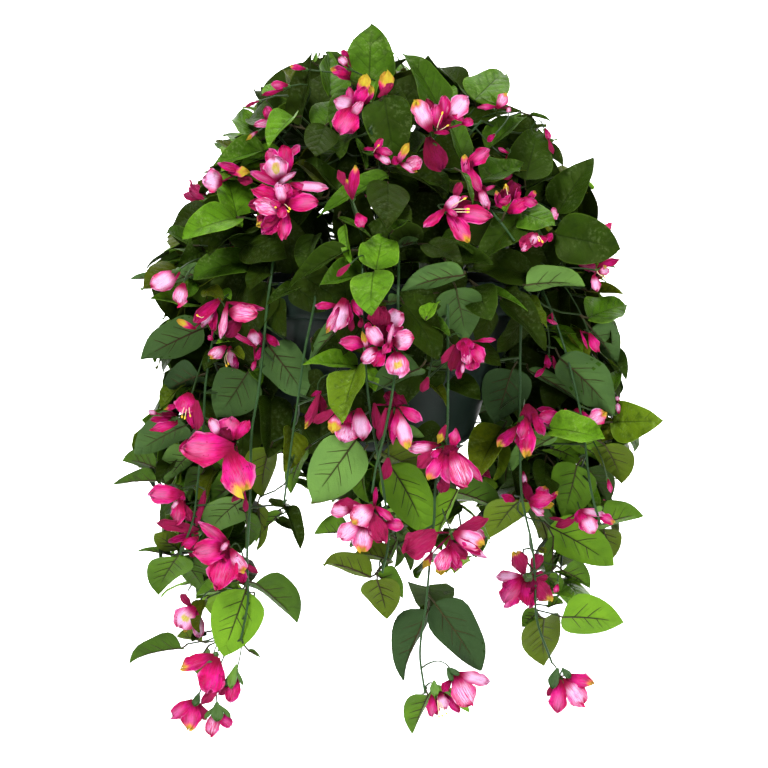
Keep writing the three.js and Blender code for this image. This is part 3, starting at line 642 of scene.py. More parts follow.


# ---- blossoms -----------------------------------------------------------------------------------
# Flowers read off the front of the basket. Each: hub x, y, how the petals curve (cup below 0: seen from
# outside), the frame's node or None, stamens (x0, y0, x1, y1), petals (base x, y, tip x, y, width, look),
# far ones first.
# A petal's look: p pale, h hot pink, d deep, D deepest, s shaded with its reverse to the viewer, and after
# that b yellow blotch, y yellow tip, Y mostly yellow. A sepal's: g, then D dark, M middle, O olive, B bright.
# d is partly the cloth's deeper pink and partly painted shade; D is near-black as painted shade.
FLOWERS = [
    (357, 106, .25, None, [], [(366, 104, 369, 84, 13, "dY"), (361, 98, 366, 75, 13, "hY"),
     (352, 108, 350, 87, 9, "h"), (356, 106, 364, 87, 14, "h"), (355, 106, 334, 101, 17, "p"),
     (355, 107, 340, 134, 27, "h"), (352, 117, 361, 101, 10, "p")]),
    (381, 98, -.3, None, [], [(383, 97, 389, 73, 15, "hY"), (378, 97, 393, 84, 8, "s")]),
    (351, 69, .2, None, [], [(349, 57, 341, 51, 6, "d"), (350, 79, 331, 71, 9, "dy"),
     (350, 74, 332, 68, 9, "hy"), (347, 66, 340, 57, 8, "p")]),
    (306, 69, -.3, None, [], [(306, 69, 290, 66, 6, "hy")]),
    (288, 86, -.3, None, [], [(288, 85, 272, 86, 9, "h"), (282, 90, 263, 96, 5, "d")]),
    (259, 101, -.3, None, [], [(259, 101, 246, 106, 4, "s")]),
    (272, 124, .2, None, [], [(272, 125, 266, 107, 11, "h"), (275, 123, 255, 126, 9, "p")]),
    (257, 132, 0, None, [], [(258, 131, 246, 139, 4, "pY")]),
    (374, 152, .2, None, [(373, 151, 378, 146)], [(374, 153, 382, 158, 8, "d"), (378, 150, 364, 149, 4, "d"),
     (375, 152, 381, 138, 8, "h"), (376, 150, 392, 153, 9, "h"), (378, 155, 390, 163, 8, "p")]),
    (398, 163, .1, None, [], [(391, 163, 400, 159, 9, "d"), (400, 163, 416, 172, 8, "py"),
     (406, 167, 421, 159, 15, "p"), (398, 164, 407, 143, 8, "pY")]),
    (432, 140, 0, None, [], [(428, 137, 438, 171, 24, "D")]),
    (438, 130, .25, "blossom_01", [(435, 131, 442, 114), (439, 131, 447, 126)],
     [(440, 118, 446, 130, 16, "D"), (432, 118, 427, 99, 13, "s"), (447, 120, 467, 97, 20, "p"),
     (444, 120, 445, 96, 13, "h"), (452, 113, 464, 121, 8, "h"), (462, 124, 473, 120, 9, "h"),
     (434, 133, 449, 132, 5, "d"), (437, 128, 436, 105, 13, "h"), (431, 131, 413, 102, 19, "py")]),
    (496, 107, -.2, None, [], [(497, 107, 478, 107, 6, "h"), (509, 106, 509, 112, 5, "p"),
     (497, 108, 507, 94, 12, "py")]),
    (494, 135, 0, None, [], [(495, 134, 487, 141, 6, "d")]),
    (545, 130, 0, None, [], [(545, 128, 550, 139, 6, "h"), (549, 140, 552, 154, 5, "s")]),
    (508, 152, 0, None, [], [(509, 153, 498, 149, 4, "h"), (501, 179, 512, 175, 7, "h")]),
    (469, 176, .3, None, [], [(468, 182, 462, 156, 9, "hy"), (466, 175, 472, 158, 10, "D"),
     (474, 182, 480, 202, 18, "D"), (466, 166, 489, 150, 15, "h"), (468, 166, 478, 193, 11, "h"),
     (483, 191, 495, 186, 4, "h"), (480, 188, 486, 208, 10, "p")]),
    (447, 210, .3, "blossom_04", [(447, 209, 467, 209), (448, 212, 467, 212), (446, 209, 464, 199)],
     [(455, 199, 459, 183, 9, "s"), (450, 208, 471, 206, 14, "D"), (450, 212, 491, 217, 19, "h"),
     (449, 213, 468, 241, 18, "hy"), (447, 213, 456, 234, 8, "h"), (444, 209, 460, 197, 11, "p"),
     (459, 198, 467, 197, 3, "h"), (445, 209, 426, 227, 10, "h"), (446, 209, 457, 215, 6, "h")]),
    (505, 205, .6, None, [], [(502, 207, 502, 190, 13, "D"), (500, 208, 495, 191, 7, "dy"),
     (503, 208, 509, 194, 7, "h"), (495, 205, 508, 206, 6, "dy"), (497, 200, 508, 203, 6, "h")]),
    (514, 208, .6, None, [(508, 200, 506, 186)], [(513, 203, 512, 182, 17, "D"),
     (507, 199, 506, 184, 6, "dY"), (515, 204, 520, 187, 6, "h"), (508, 213, 526, 200, 15, "h"),
     (520, 200, 537, 203, 10, "h"), (528, 200, 536, 192, 7, "hy")]),
    (538, 236, .3, "blossom_05", [(538, 234, 542, 241), (537, 235, 539, 240)],
     [(534, 233, 524, 247, 14, "s"), (530, 244, 521, 250, 8, "p"), (538, 236, 541, 246, 16, "d"),
     (537, 233, 532, 244, 9, "p"), (546, 236, 553, 238, 9, "d")]),
    (549, 214, .2, None, [], [(550, 214, 557, 213, 12, "p")]),
    (598, 270, .2, None, [(597, 274, 604, 277)], [(598, 266, 619, 260, 8, "d"), (598, 272, 609, 270, 8, "p"),
     (602, 269, 606, 266, 4, "hY"), (594, 275, 596, 291, 10, "p")]),
    (280, 172, .3, None, [], [(284, 172, 286, 160, 12, "D"), (287, 174, 286, 146, 16, "h"),
     (288, 158, 299, 146, 8, "h"), (276, 178, 260, 166, 10, "h"), (276, 166, 268, 151, 14, "h"),
     (279, 182, 273, 156, 24, "pb"), (276, 186, 294, 172, 6, "p")]),
    (285, 206, .3, "blossom_02", [(281, 200, 289, 208), (284, 208, 288, 211), (271, 204, 275, 207)],
     [(290, 186, 326, 189, 10, "p"), (290, 183, 312, 190, 8, "h"), (282, 186, 251, 173, 9, "h"),
     (284, 204, 249, 206, 14, "s"), (284, 206, 300, 190, 16, "d"), (290, 200, 284, 184, 13, "h"),
     (284, 214, 262, 232, 18, "d"), (282, 212, 258, 226, 18, "sy"), (287, 212, 283, 238, 14, "h"),
     (286, 204, 318, 204, 19, "h"), (282, 198, 254, 190, 16, "h"), (283, 204, 279, 184, 12, "p"),
     (283, 210, 256, 206, 17, "p"), (284, 206, 281, 218, 10, "h"), (282, 208, 270, 202, 8, "h")]),
    (236, 172, .2, "blossom_03", [], [(238, 178, 252, 184, 10, "s"), (228, 172, 250, 172, 10, "hY"),
     (244, 172, 219, 162, 9, "h"), (222, 182, 204, 180, 24, "p")]),
    (178, 270, -.6, None, [], [(179, 271, 153, 290, 21, "p")]),
    (183, 284, -.6, None, [], [(184, 283, 177, 304, 16, "p")]),
    (214, 306, .3, None, [(204, 322, 198, 316)], [(214, 306, 214, 330, 10, "d"),
     (220, 299, 196, 322, 13, "d"), (214, 310, 203, 326, 9, "p"), (212, 304, 199, 316, 9, "h"),
     (196, 329, 177, 321, 7, "hY"), (213, 340, 208, 336, 5, "h")]),
    (228, 312, .3, "blossom_06", [], [(242, 318, 226, 336, 15, "D"), (226, 302, 262, 308, 6, "d"),
     (227, 303, 223, 337, 8, "p"), (228, 312, 257, 314, 19, "p")]),
    (252, 336, -.3, None, [], [(266, 334, 277, 346, 9, "d"), (258, 330, 262, 346, 8, "s"),
     (264, 344, 257, 360, 7, "d"), (256, 360, 252, 370, 5, "h"), (252, 329, 255, 346, 15, "p"),
     (257, 348, 234, 332, 6, "h")]),
    (230, 348, -.4, None, [(222, 357, 226, 365), (224, 356, 228, 363)], [(234, 352, 235, 372, 8, "h"),
     (230, 346, 232, 366, 10, "p"), (226, 346, 211, 359, 13, "py")]),
    (190, 398, -.4, None, [(182, 408, 182, 416), (186, 408, 185, 417), (188, 408, 190, 415)],
     [(182, 404, 165, 408, 6, "dy"), (197, 400, 196, 430, 14, "s"), (190, 402, 191, 427, 9, "d"),
     (190, 393, 184, 412, 24, "h")]),
    (176, 418, .2, None, [], [(158, 414, 148, 411, 5, "p"), (176, 414, 162, 414, 6, "D"),
     (172, 418, 152, 421, 7, "d"), (177, 423, 152, 430, 10, "h")]),
    (234, 441, -.35, "blossom_12", [], [(187, 439, 179, 451, 5, "d"), (245, 488, 233, 503, 7, "s"),
     (246, 498, 245, 511, 6, "s"), (230, 440, 231, 418, 28, "h"), (236, 439, 248, 422, 12, "h"),
     (220, 437, 210, 419, 11, "p"), (231, 440, 222, 428, 12, "D"), (229, 450, 244, 490, 36, "hy"),
     (234, 447, 184, 451, 36, "h")]),
    (184, 494, -.2, None, [], [(184, 504, 192, 521, 10, "s"), (181, 503, 183, 519, 5, "d"),
     (184, 494, 150, 494, 21, "h"), (183, 492, 178, 500, 12, "d"), (182, 500, 175, 523, 16, "h"),
     (180, 500, 171, 508, 5, "p")]),
    (202, 500, 0, None, [], [(198, 524, 204, 491, 7, "s"), (197, 504, 197, 526, 8, "s")]),
    (198, 534, .2, None, [], [(190, 546, 194, 557, 8, "s"), (198, 533, 169, 541, 8, "d"),
     (198, 530, 159, 523, 12, "s"), (198, 538, 182, 546, 11, "h")]),
    (229, 551, .3, "blossom_13", [], [(240, 566, 241, 582, 14, "d"), (243, 563, 258, 572, 6, "s"),
     (228, 548, 230, 560, 18, "D"), (228, 548, 194, 554, 26, "h"), (229, 550, 220, 587, 31, "h"),
     (231, 549, 244, 571, 14, "py"), (228, 543, 201, 520, 12, "h"), (229, 541, 221, 550, 6, "p")]),
    (196, 608, -.3, None, [], [(189, 625, 184, 632, 4, "sY"), (191, 607, 181, 594, 9, "s"),
     (196, 611, 201, 637, 13, "p"), (196, 610, 197, 622, 8, "d"), (195, 607, 177, 625, 25, "pb")]),
    (215, 656, -.4, "blossom_17", [], [(220, 686, 202, 704, 11, "s"), (221, 664, 221, 691, 10, "d"),
     (217, 657, 208, 692, 29, "h"), (213, 655, 182, 668, 17, "hy")]),
    (236, 672, -.5, None, [], [(230, 684, 220, 695, 8, "s"), (237, 676, 230, 702, 16, "h"),
     (235, 668, 225, 687, 7, "gD"), (236, 668, 243, 685, 4, "gM"), (237, 664, 229, 688, 10, "gB")]),
    (197, 700, -.4, None, [], [(199, 703, 206, 720, 10, "s"), (187, 712, 183, 723, 9, "p"),
     (193, 700, 171, 715, 15, "h"), (195, 701, 189, 729, 21, "hy"), (199, 693, 195, 706, 8, "gD")]),
    (217, 710, -.4, None, [], [(220, 713, 230, 727, 13, "h"), (215, 712, 212, 735, 16, "p"),
     (213, 708, 205, 718, 5, "gM"), (219, 705, 231, 717, 5, "gM"), (217, 702, 217, 721, 13, "gO")]),
    (353, 198, -.3, None, [], [(345, 186, 339, 171, 9, "s"), (353, 199, 346, 180, 10, "sy"),
     (352, 199, 356, 166, 11, "dy")]),
    (358, 214, -.4, None, [], [(357, 213, 363, 227, 13, "h")]),
    (348, 266, 0, None, [], [(350, 264, 337, 276, 6, "s")]),
    (350, 306, -.35, None, [], [(352, 316, 350, 331, 7, "s"), (362, 318, 360, 328, 6, "s"),
     (337, 305, 316, 306, 8, "h"), (347, 300, 348, 324, 12, "d"), (352, 300, 363, 314, 11, "h"),
     (344, 298, 337, 330, 20, "p"), (340, 306, 326, 332, 9, "py")]),
    (382, 332, .3, "blossom_07", [(378, 331, 375, 327)], [(382, 336, 383, 324, 20, "D"),
     (380, 328, 380, 306, 24, "s"), (386, 324, 403, 314, 19, "p"), (392, 320, 396, 336, 16, "h"),
     (366, 344, 340, 341, 15, "h"), (393, 342, 414, 340, 21, "p"), (397, 352, 397, 375, 25, "pb"),
     (384, 350, 374, 366, 15, "h"), (377, 348, 362, 361, 14, "p"), (392, 340, 384, 354, 9, "h"),
     (367, 350, 363, 332, 6, "pY"), (368, 332, 368, 322, 8, "h"), (382, 346, 368, 327, 16, "p"),
     (388, 348, 392, 324, 5, "p")]),
    (463, 343, .2, "blossom_08", [], [(476, 341, 495, 339, 5, "h"), (460, 362, 458, 378, 7, "d"),
     (460, 342, 453, 369, 14, "D"), (454, 345, 443, 363, 8, "s"), (465, 338, 466, 352, 18, "d"),
     (472, 344, 484, 361, 15, "h"), (472, 358, 473, 370, 15, "h"), (463, 342, 466, 358, 9, "d"),
     (467, 350, 466, 364, 11, "p"), (463, 362, 463, 374, 4, "p")]),
    (318, 394, -.3, None, [], [(311, 396, 321, 391, 6, "d"), (318, 393, 326, 414, 10, "D"),
     (319, 394, 308, 427, 11, "sy")]),
    (348, 414, -.35, "blossom_09", [], [(336, 409, 315, 422, 10, "s"), (352, 413, 346, 426, 10, "d"),
     (338, 413, 332, 432, 14, "pY"), (350, 423, 344, 442, 24, "p"), (359, 408, 361, 439, 20, "p")]),
    (396, 406, -.3, None, [], [(396, 392, 386, 402, 16, "D"), (388, 396, 404, 404, 14, "D"),
     (374, 403, 377, 430, 10, "s"), (392, 410, 391, 443, 8, "d"), (386, 408, 378, 440, 10, "s"),
     (400, 407, 421, 420, 13, "h"), (397, 411, 393, 437, 10, "h"), (397, 410, 408, 447, 16, "py")]),
    (428, 378, -.2, None, [], [(428, 377, 423, 392, 9, "s")]),
    (444, 446, -.1, "blossom_10", [], [(446, 425, 437, 442, 8, "sY"), (446, 476, 442, 492, 13, "s"),
     (436, 443, 410, 444, 6, "d"), (455, 474, 463, 489, 10, "h"), (459, 453, 482, 480, 9, "h"),
     (452, 449, 457, 429, 12, "h"), (446, 446, 452, 456, 20, "D"), (436, 446, 410, 451, 11, "p"),
     (435, 451, 417, 466, 14, "s"), (446, 456, 448, 481, 16, "h"), (441, 450, 431, 457, 9, "h"),
     (442, 454, 429, 479, 15, "hy"), (452, 452, 467, 485, 23, "p")]),
    (524, 414, -.3, "blossom_11", [], [(527, 404, 530, 424, 20, "D"), (520, 430, 519, 447, 10, "d"),
     (533, 413, 543, 434, 11, "d"), (517, 427, 500, 446, 14, "dy"), (528, 422, 527, 455, 17, "hy"),
     (526, 418, 521, 438, 13, "h")]),
    (563, 417, .2, None, [], [(566, 409, 562, 426, 9, "s"), (556, 411, 537, 408, 7, "d"),
     (563, 416, 539, 419, 15, "h"), (562, 427, 541, 425, 7, "h")]),
    (574, 414, .1, None, [], [(576, 409, 587, 428, 15, "d"), (572, 414, 577, 428, 6, "h"),
     (587, 424, 604, 412, 17, "py")]),
    (617, 404, 0, None, [], [(619, 414, 617, 404, 5, "p"), (619, 401, 616, 397, 4, "p")]),
    (590, 334, -.2, None, [], [(589, 333, 598, 352, 11, "h"), (580, 330, 587, 349, 3, "h")]),
    (546, 320, 0, None, [], [(545, 319, 557, 324, 4, "h"), (536, 320, 542, 326, 4, "p"),
     (552, 312, 553, 321, 2, "s")]),
    (549, 356, -.2, None, [], [(546, 355, 549, 368, 7, "d"), (553, 356, 556, 368, 4, "s"),
     (545, 368, 535, 377, 6, "h")]),
    (388, 460, -.2, None, [], [(388, 458, 386, 479, 12, "s")]),
    (372, 506, -.1, "blossom_14", [], [(374, 509, 376, 487, 5, "d"), (362, 506, 334, 503, 14, "s"),
     (384, 524, 403, 526, 13, "h"), (352, 510, 331, 512, 14, "p"), (372, 513, 382, 542, 21, "s"),
     (375, 506, 393, 520, 9, "h"), (366, 524, 360, 550, 21, "py"), (360, 522, 339, 536, 19, "p"),
     (373, 506, 352, 522, 24, "py")]),
    (453, 534, .1, "blossom_15", [], [(436, 532, 406, 551, 28, "s"), (470, 528, 484, 538, 12, "p"),
     (432, 553, 424, 568, 8, "sY"), (442, 560, 440, 574, 12, "sY"), (458, 529, 488, 520, 14, "s"),
     (452, 544, 467, 556, 13, "s"), (450, 547, 453, 569, 13, "d"), (450, 546, 460, 568, 9, "h"),
     (464, 545, 487, 557, 8, "p"), (447, 549, 439, 569, 18, "p"), (454, 537, 480, 552, 10, "h"),
     (454, 533, 482, 545, 20, "py")]),
    (530, 502, .2, None, [], [(523, 471, 526, 484, 5, "p"), (522, 480, 531, 498, 10, "D"),
     (515, 501, 501, 495, 9, "d"), (547, 501, 557, 491, 6, "dy"), (538, 499, 545, 486, 13, "hy"),
     (530, 505, 552, 506, 9, "pY"), (530, 504, 543, 514, 9, "p"), (529, 502, 553, 498, 17, "h")]),
    (582, 512, .1, None, [], [(575, 520, 556, 527, 9, "s"), (566, 521, 549, 517, 4, "s"),
     (582, 509, 575, 521, 9, "d"), (580, 510, 604, 514, 8, "p"), (580, 511, 585, 529, 12, "h"),
     (596, 514, 615, 521, 10, "hy"), (584, 514, 594, 533, 16, "p"), (594, 510, 603, 508, 6, "gB")]),
    (608, 480, -.2, None, [], [(608, 479, 611, 492, 5, "h")]),
    (557, 584, 0, None, [], [(558, 584, 555, 592, 6, "h")]),
    (560, 678, -.4, "blossom_16", [], [(558, 682, 547, 695, 8, "s"), (566, 675, 591, 686, 16, "hy"),
     (565, 679, 584, 702, 22, "p"), (560, 680, 558, 712, 19, "h"), (562, 668, 570, 678, 8, "gD"),
     (558, 668, 551, 688, 12, "gD")]),
    (453, 674, -.4, "blossom_18", [], [(451, 680, 442, 691, 10, "d"), (452, 688, 461, 706, 10, "s"),
     (457, 673, 489, 682, 14, "p"), (455, 675, 469, 706, 26, "p"), (447, 668, 452, 681, 6, "gD"),
     (448, 667, 459, 675, 6, "gD")]),
    (437, 692, -.3, None, [(438, 706, 439, 716), (441, 706, 446, 713), (440, 706, 442, 715)],
     [(436, 702, 437, 715, 7, "d"), (445, 693, 458, 713, 9, "h"), (432, 694, 431, 717, 11, "h"),
     (440, 693, 445, 709, 13, "p"), (437, 685, 455, 694, 6, "gB"), (434, 680, 434, 695, 10, "gB")]),
    (528, 574, -1, None, [], [(524, 574, 515, 552, 19, "sy"), (531, 572, 541, 554, 13, "s"),
     (523, 576, 497, 577, 12, "p"), (532, 575, 548, 576, 11, "s"), (531, 576, 550, 600, 19, "sy"),
     (524, 576, 503, 602, 26, "h"), (528, 578, 527, 606, 22, "d"), (530, 574, 530, 592, 16, "D")]),
]
# CAD blossoms 19 to 26, at the sides and the back: angle, radius, height and how far they look up
SIDE = [(160, 168, 66, .3), (120, 160, 84, .4), (82, 150, 96, .5), (40, 156, 92, .4), (2, 176, 22, .1),
        (101, 178, -130, -.4), (60, 180, -190, -.5), (9, 182, -205, -.4)]

PETAL_U = A([0, .08, .17, .27, .37, .47, .57, .67, .76, .84, .91, .965, 1])
PETAL_F = A([.22, .35, .50, .66, .80, .92, .99, 1.0, .94, .81, .60, .36, .05])
PETAL_V = A([-1, -.78, -.52, -.26, 0, .26, .52, .78, 1])


def petal_surface(c, axis, out, L, W, a0, a1, cup, ruffle, phase, twist, sway, lift, U, V):
    """Points of a petal that starts at c and opens from the axis towards out, by the angles a0 to a1, and how
    far across it they lie."""
    fine = np.linspace(0, 1, PETAL_STEPS + 1)
    ang = a0 + (a1 - a0) * fine ** 1.3
    step = L / PETAL_STEPS
    along = np.concatenate([[0], np.cumsum((np.cos(ang[1:]) + np.cos(ang[:-1])) / 2 * step)])
    away = np.concatenate([[0], np.cumsum((np.sin(ang[1:]) + np.sin(ang[:-1])) / 2 * step)])
    a = np.interp(U, fine, ang)
    x, z = np.interp(U, fine, along), np.interp(U, fine, away)
    t = np.cos(a)[:, None] * axis + np.sin(a)[:, None] * out
    m = np.sin(a)[:, None] * axis - np.cos(a)[:, None] * out
    s = np.cross(m, t)
    tw = twist * U
    s2 = np.cos(tw)[:, None] * s + np.sin(tw)[:, None] * m
    m2 = -np.sin(tw)[:, None] * s + np.cos(tw)[:, None] * m
    hw = np.interp(U, PETAL_U, PETAL_F) * W / 2
    left = V[None, :] < 0
    lobes = np.where(left, np.sin(9 * U[:, None] + phase), np.sin(11 * U[:, None] + 2.3 * phase))
    nicks = np.where(left, np.sin(21 * U[:, None] + 3 * phase), np.sin(25 * U[:, None] + 1.7 * phase))
    ragged = ruffle * (0.32 * lobes + 0.22 * nicks)
    y = hw[:, None] * V[None, :] * (1 + ragged * np.abs(V[None, :]) * U[:, None])
    h = cup * y ** 2 / (W / 2) * (1 - 0.55 * U[:, None])
    beat = 13 * U[:, None] + phase + 2.4 * (V[None, :] > 0)
    h += ruffle * W / 2 * np.abs(V[None, :]) ** 1.5 * U[:, None] * np.sin(beat)
    h += 0.09 * W * U[:, None] * np.sin((5.5 + 0.7 * phase) * V[None, :] + phase) * (ruffle > 0)
    h += lift
    mid = c + x[:, None] * axis + z[:, None] * out + (sway * L * U ** 2)[:, None] * np.cross(axis, out)
    tips = 0.15 * ruffle * L * U[:, None] ** 3 * np.sin(6 * V[None, :] + 1.7 * phase)
    return (mid[:, None, :] + y[..., None] * s2[:, None, :] + h[..., None] * m2[:, None, :]
            + tips[..., None] * t[:, None, :]), y


PLAIN_U, PLAIN_V = PETAL_U[[0, 2, 4, 6, 8, 10, 11, 12]], PETAL_V[[0, 1, 3, 4, 5, 7, 8]]


def add_petal(soup, tint, *shape, mat=PETAL, flip=False, plain=False):
    """Adds a petal or sepal with both its sides; a plain one has a coarser grid."""
    U, V = (PLAIN_U, PLAIN_V) if plain else (PETAL_U, PETAL_V)
    top, y = petal_surface(*shape, PETAL_HALF, U, V)
    under, y = petal_surface(*shape, -PETAL_HALF, U, V)
    W = shape[4]
    uv = np.stack([np.broadcast_to(U[:, None], y.shape), 0.5 + y / W], -1)
    if flip:                            # the reverse of the cloth towards the viewer
        top, under, uv = under[:, ::-1], top[:, ::-1], uv[:, ::-1]
    shell(soup, top, under, uv, tint, mat, np.broadcast_to(np.abs(V)[None, :], y.shape))


# The kinds of blossoms nobody sees from the front. Shares of the size: a petal's length and how far back they
# meet. First and last opening angle, width to length, disorder, rings (petals, share of length, closing).
KINDS = {"open": (0.62, 0.28, 0.45, 1.35, 0.56, 0.7, [(6, 1.0, 0.0)]),
         "double": (0.44, 0.24, 0.4, 1.4, 0.52, 1.0, [(6, 1.0, 0.1), (5, 0.95, -0.35), (3, 0.8, -0.8)]),
         "bell": (0.82, 0.42, 0.72, 0.10, 0.60, 0.6, [(5, 1.0, 0.0), (2, 0.8, -0.2)])}


def stamen(soup, thread, radii, way):
    """A thread and the anther at its end, which points along way."""
    tube(soup, thread, A(radii), 4, (0.5, 0.0, 0.2), THREAD)
    d, tip = unit(way), thread[-1]
    tube(soup, [tip - d * 0.6, tip + d * 0.4, tip + d * 1.6, tip + d * 2.3], A([.4, .75, .7, .3]), 6,
         (1.0, 0.0, 0.5), THREAD)


def blossom(name, centre, axis, size, kind, shade, yellow, spin):
    """One blossom piece: petals, stamens, calyx and its stalk from the nearest stem."""
    soup = Soup()
    axis = unit(axis)
    u, w = across(axis)
    length, behind, first, last, slim, wild, rings = KINDS[kind]
    L = length * size
    back = centre - axis * behind * size
    total = sum(n for n, _, _ in rings)
    golden = set(rng.sample(range(total), min(total, int(yellow * 2.6 + rng.random() * 0.8))))
    count = 0
    for ring, (n, share, close) in enumerate(rings):
        for k in range(n):
            turn = spin + (k + 0.5 * ring) * 2 * math.pi / n + rng.uniform(-0.35, 0.35) * wild
            out = unit(u * math.cos(turn) + w * math.sin(turn))
            far = (k + ring) % 2
            Lp = L * share * (1 + rng.uniform(-0.25, 0.16) * wild)
            Wp = Lp * slim * (1 + rng.uniform(-0.22, 0.25) * wild)
            a0 = first + (0.10 if far else 0) + rng.uniform(-0.25, 0.25) * wild
            a1 = last + close + rng.uniform(-0.6, 0.6) * wild
            base = back + axis * (0.06 * size) + out * (0.035 * size)
            if kind == "double":
                base = base + (axis * rng.uniform(-0.04, 0.08) + out * rng.uniform(0.0, 0.13)) * size
            tip = 0.5 if count in golden else 0.0
            count += 1
            tint = (tip, min(1.0, max(0.0, shade + rng.uniform(-0.2, 0.2))), rng.random())
            add_petal(soup, tint, base, axis, out, Lp, Wp, a0, a1, rng.uniform(0.3, 0.95),
                      rng.uniform(0.14, 0.55) * wild, rng.uniform(0, 6.28), rng.uniform(-1.0, 1.0) * wild,
                      rng.uniform(-0.25, 0.25) * wild, plain=True)
    for k in range(6):
        turn = spin + k * 1.047 + 0.4
        out = u * math.cos(turn) + w * math.sin(turn)
        reach = L * rng.uniform(0.5, 0.68)
        tip = back + axis * reach + out * reach * rng.uniform(0.1, 0.32)
        pts = bezier(back + axis * 2, back + axis * reach * 0.6, tip, 4)
        stamen(soup, pts, [.4, .36, .33, .3], tip - pts[-2])
    calyx(soup, back, axis, max(1.6, 0.05 * size), size, spin)
    return soup.build(name, [M["petal"], M["stamen"], M["stem"]])


SEPAL_U = A([0, .3, .6, .85, 1])


def calyx(soup, back, axis, r, size, spin):
    """A small green cup with pointed sepals, then the stalk to the nearest stem."""
    u, w = across(axis)
    tube(soup, [back - axis * r * 1.2, back - axis * r * 0.7, back + axis * r * 0.1, back + axis * r * 0.8],
         A([0.9, r * 0.95, r * 1.1, r * 0.8]), 8, (0.1, 0.3, 0.5), GREEN)
    for k in range(5):
        turn = spin + k * 1.257
        out = unit(u * math.cos(turn) + w * math.sin(turn))
        sepal = (back, axis, out, 0.2 * size, 0.11 * size, 0.5, 0.25, 0.3, 0.0, 0, 0, 0)
        top, low = (petal_surface(*sepal, -r * 0.5 - thick, SEPAL_U, PETAL_V[::4])[0] for thick in (0, 0.35))
        uv = np.zeros(top.shape[:2] + (2,))
        uv[..., 0] = SEPAL_U[:, None]
        shell(soup, top, low, uv, (0.3, 0.2, 0.5), GREEN)
    end = back - axis * r * 1.4
    from_, bend = twig(end, -axis)
    stalk = bezier(from_, bend, end, 9)
    tube(soup, stalk, A([.9, .8, .75, .7, .65, .6, .6, .65, .8]), 5, (0.3, 0.0, 0.5), GREEN)


TWIG_RANKS = [0, 5, 12, 20, 30, 42, 56, 72, 92, 120, 155, 200, 260, 330, 410, 500]    # near stem points first
DIPS = (26.0, 50.0, 80.0)


def twig(end, inward):
    """Where a stalk to end starts and how it bends: short, dipping inwards, and hidden if it can be."""
    gap = np.linalg.norm(ALL_POINTS - end, axis=1)
    score = gap + 0.6 * np.clip(end[2] - ALL_POINTS[:, 2], 0, 40)
    best = None
    for k in np.argsort(score)[TWIG_RANKS]:
        for dip in DIPS:
            bend = end + inward * min(dip, 0.6 * gap[k]) + A([0.0, 0.0, 0.06 * gap[k]])
            i, j, far = cells(bezier(ALL_POINTS[k], bend, end, 9)[1:-1])
            shown = (far < nearest_seen[i, j] + 1).mean()
            cost = score[k] + 3.0 * shown * min(60.0, 4 * gap[k]) + 0.2 * dip
            if best is None or cost < best[0]:
                best = (cost, ALL_POINTS[k], bend)
    return best[1], best[2]


# looks of a petal (shade, reverse side), greens of a sepal and yellow of a petal
LOOKS = {"p": (0.0, False), "h": (0.35, False), "d": (0.65, False), "D": (1.0, False), "s": (0.75, True)}
GREENS = {"D": 0.1, "M": 0.4, "O": 0.3, "B": 0.85}
GOLD = {"": 0.0, "b": 0.25, "y": 0.5, "Y": 1.0}


def read_flower(row):
    """A flower read off the photograph: each petal's shape, and the point behind them where they meet."""
    hx, hy, cup, node, threads, petals = row
    if node:
        lo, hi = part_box(node)
        depth = -500 * (lo[1] + hi[1])
    else:
        depth = first_depth(hx, hy) + 8
    shapes, mean = [], A([0.0, 0.0, 0.0])
    for k, (bx, by, tx, ty, w, look) in enumerate(petals):
        here = depth + (k - (len(petals) - 1) / 2) * 1.1
        base = at(bx, by, here)
        span = at(tx, ty, here) - base
        seen = np.linalg.norm(span)
        out = span / seen
        axis = unit(NEAR - out * (NEAR @ out))
        a0 = rng.uniform(0.7, 1.1) if cup > 0 else rng.uniform(1.0, 1.35)
        a1 = rng.uniform(1.5, 2.2) if cup > 0 else rng.uniform(1.7, 2.3)
        ang = a0 + (a1 - a0) * np.linspace(0, 1, PETAL_STEPS + 1) ** 1.3
        L = seen / np.sin(ang).mean()
        W = w * (EYE_FAR - here) / FOCAL
        base = base - axis * L * np.cos(ang).mean() / 2
        curl = (abs(cup) + 0.25) * rng.uniform(0.5, 1.2) * (1 if cup > 0 else -1)
        curl = curl * (1.6 if W < 0.4 * L else 1)
        mean += out * seen
        green = look[0] == "g"
        shape = [base, axis, out, L, W, a0, a1, curl, 0.05 if green else rng.uniform(0.2, 0.5),
                 rng.uniform(0, 6.28), rng.uniform(-0.35, 0.35), rng.uniform(-0.08, 0.08)]
        if green:
            shapes.append((shape, (0.1, GREENS[look[1]], rng.random()), GREEN, False))
        else:
            shade, flip = LOOKS[look[0]]
            shapes.append((shape, (GOLD[look[1:]], shade, rng.random()), PETAL, flip))
    total = sum(math.hypot(t[2] - t[0], t[3] - t[1]) for t in petals) * 0.8
    lean = min(1.0, np.linalg.norm(mean) / total)
    away = NEAR if cup > -1 else -NEAR
    hub = at(hx, hy, depth) - away * (9 * (1 - lean) + 2 + 0.5 * len(petals))
    extent = max(math.hypot(t[2] - hx, t[3] - hy) for t in petals)
    return dict(hub=hub, axis=unit(unit(mean) * lean + away * (1.15 - lean)), shapes=shapes, node=node,
                size=min(60, extent * 1.3),
                threads=[(at(x0, y0, depth + 3), at(x1, y1, depth + 10)) for x0, y0, x1, y1 in threads])


COARSE_U, COARSE_V = A([0.05, .3, .55, .8, .95]), A([-.9, -.3, .3, .9])


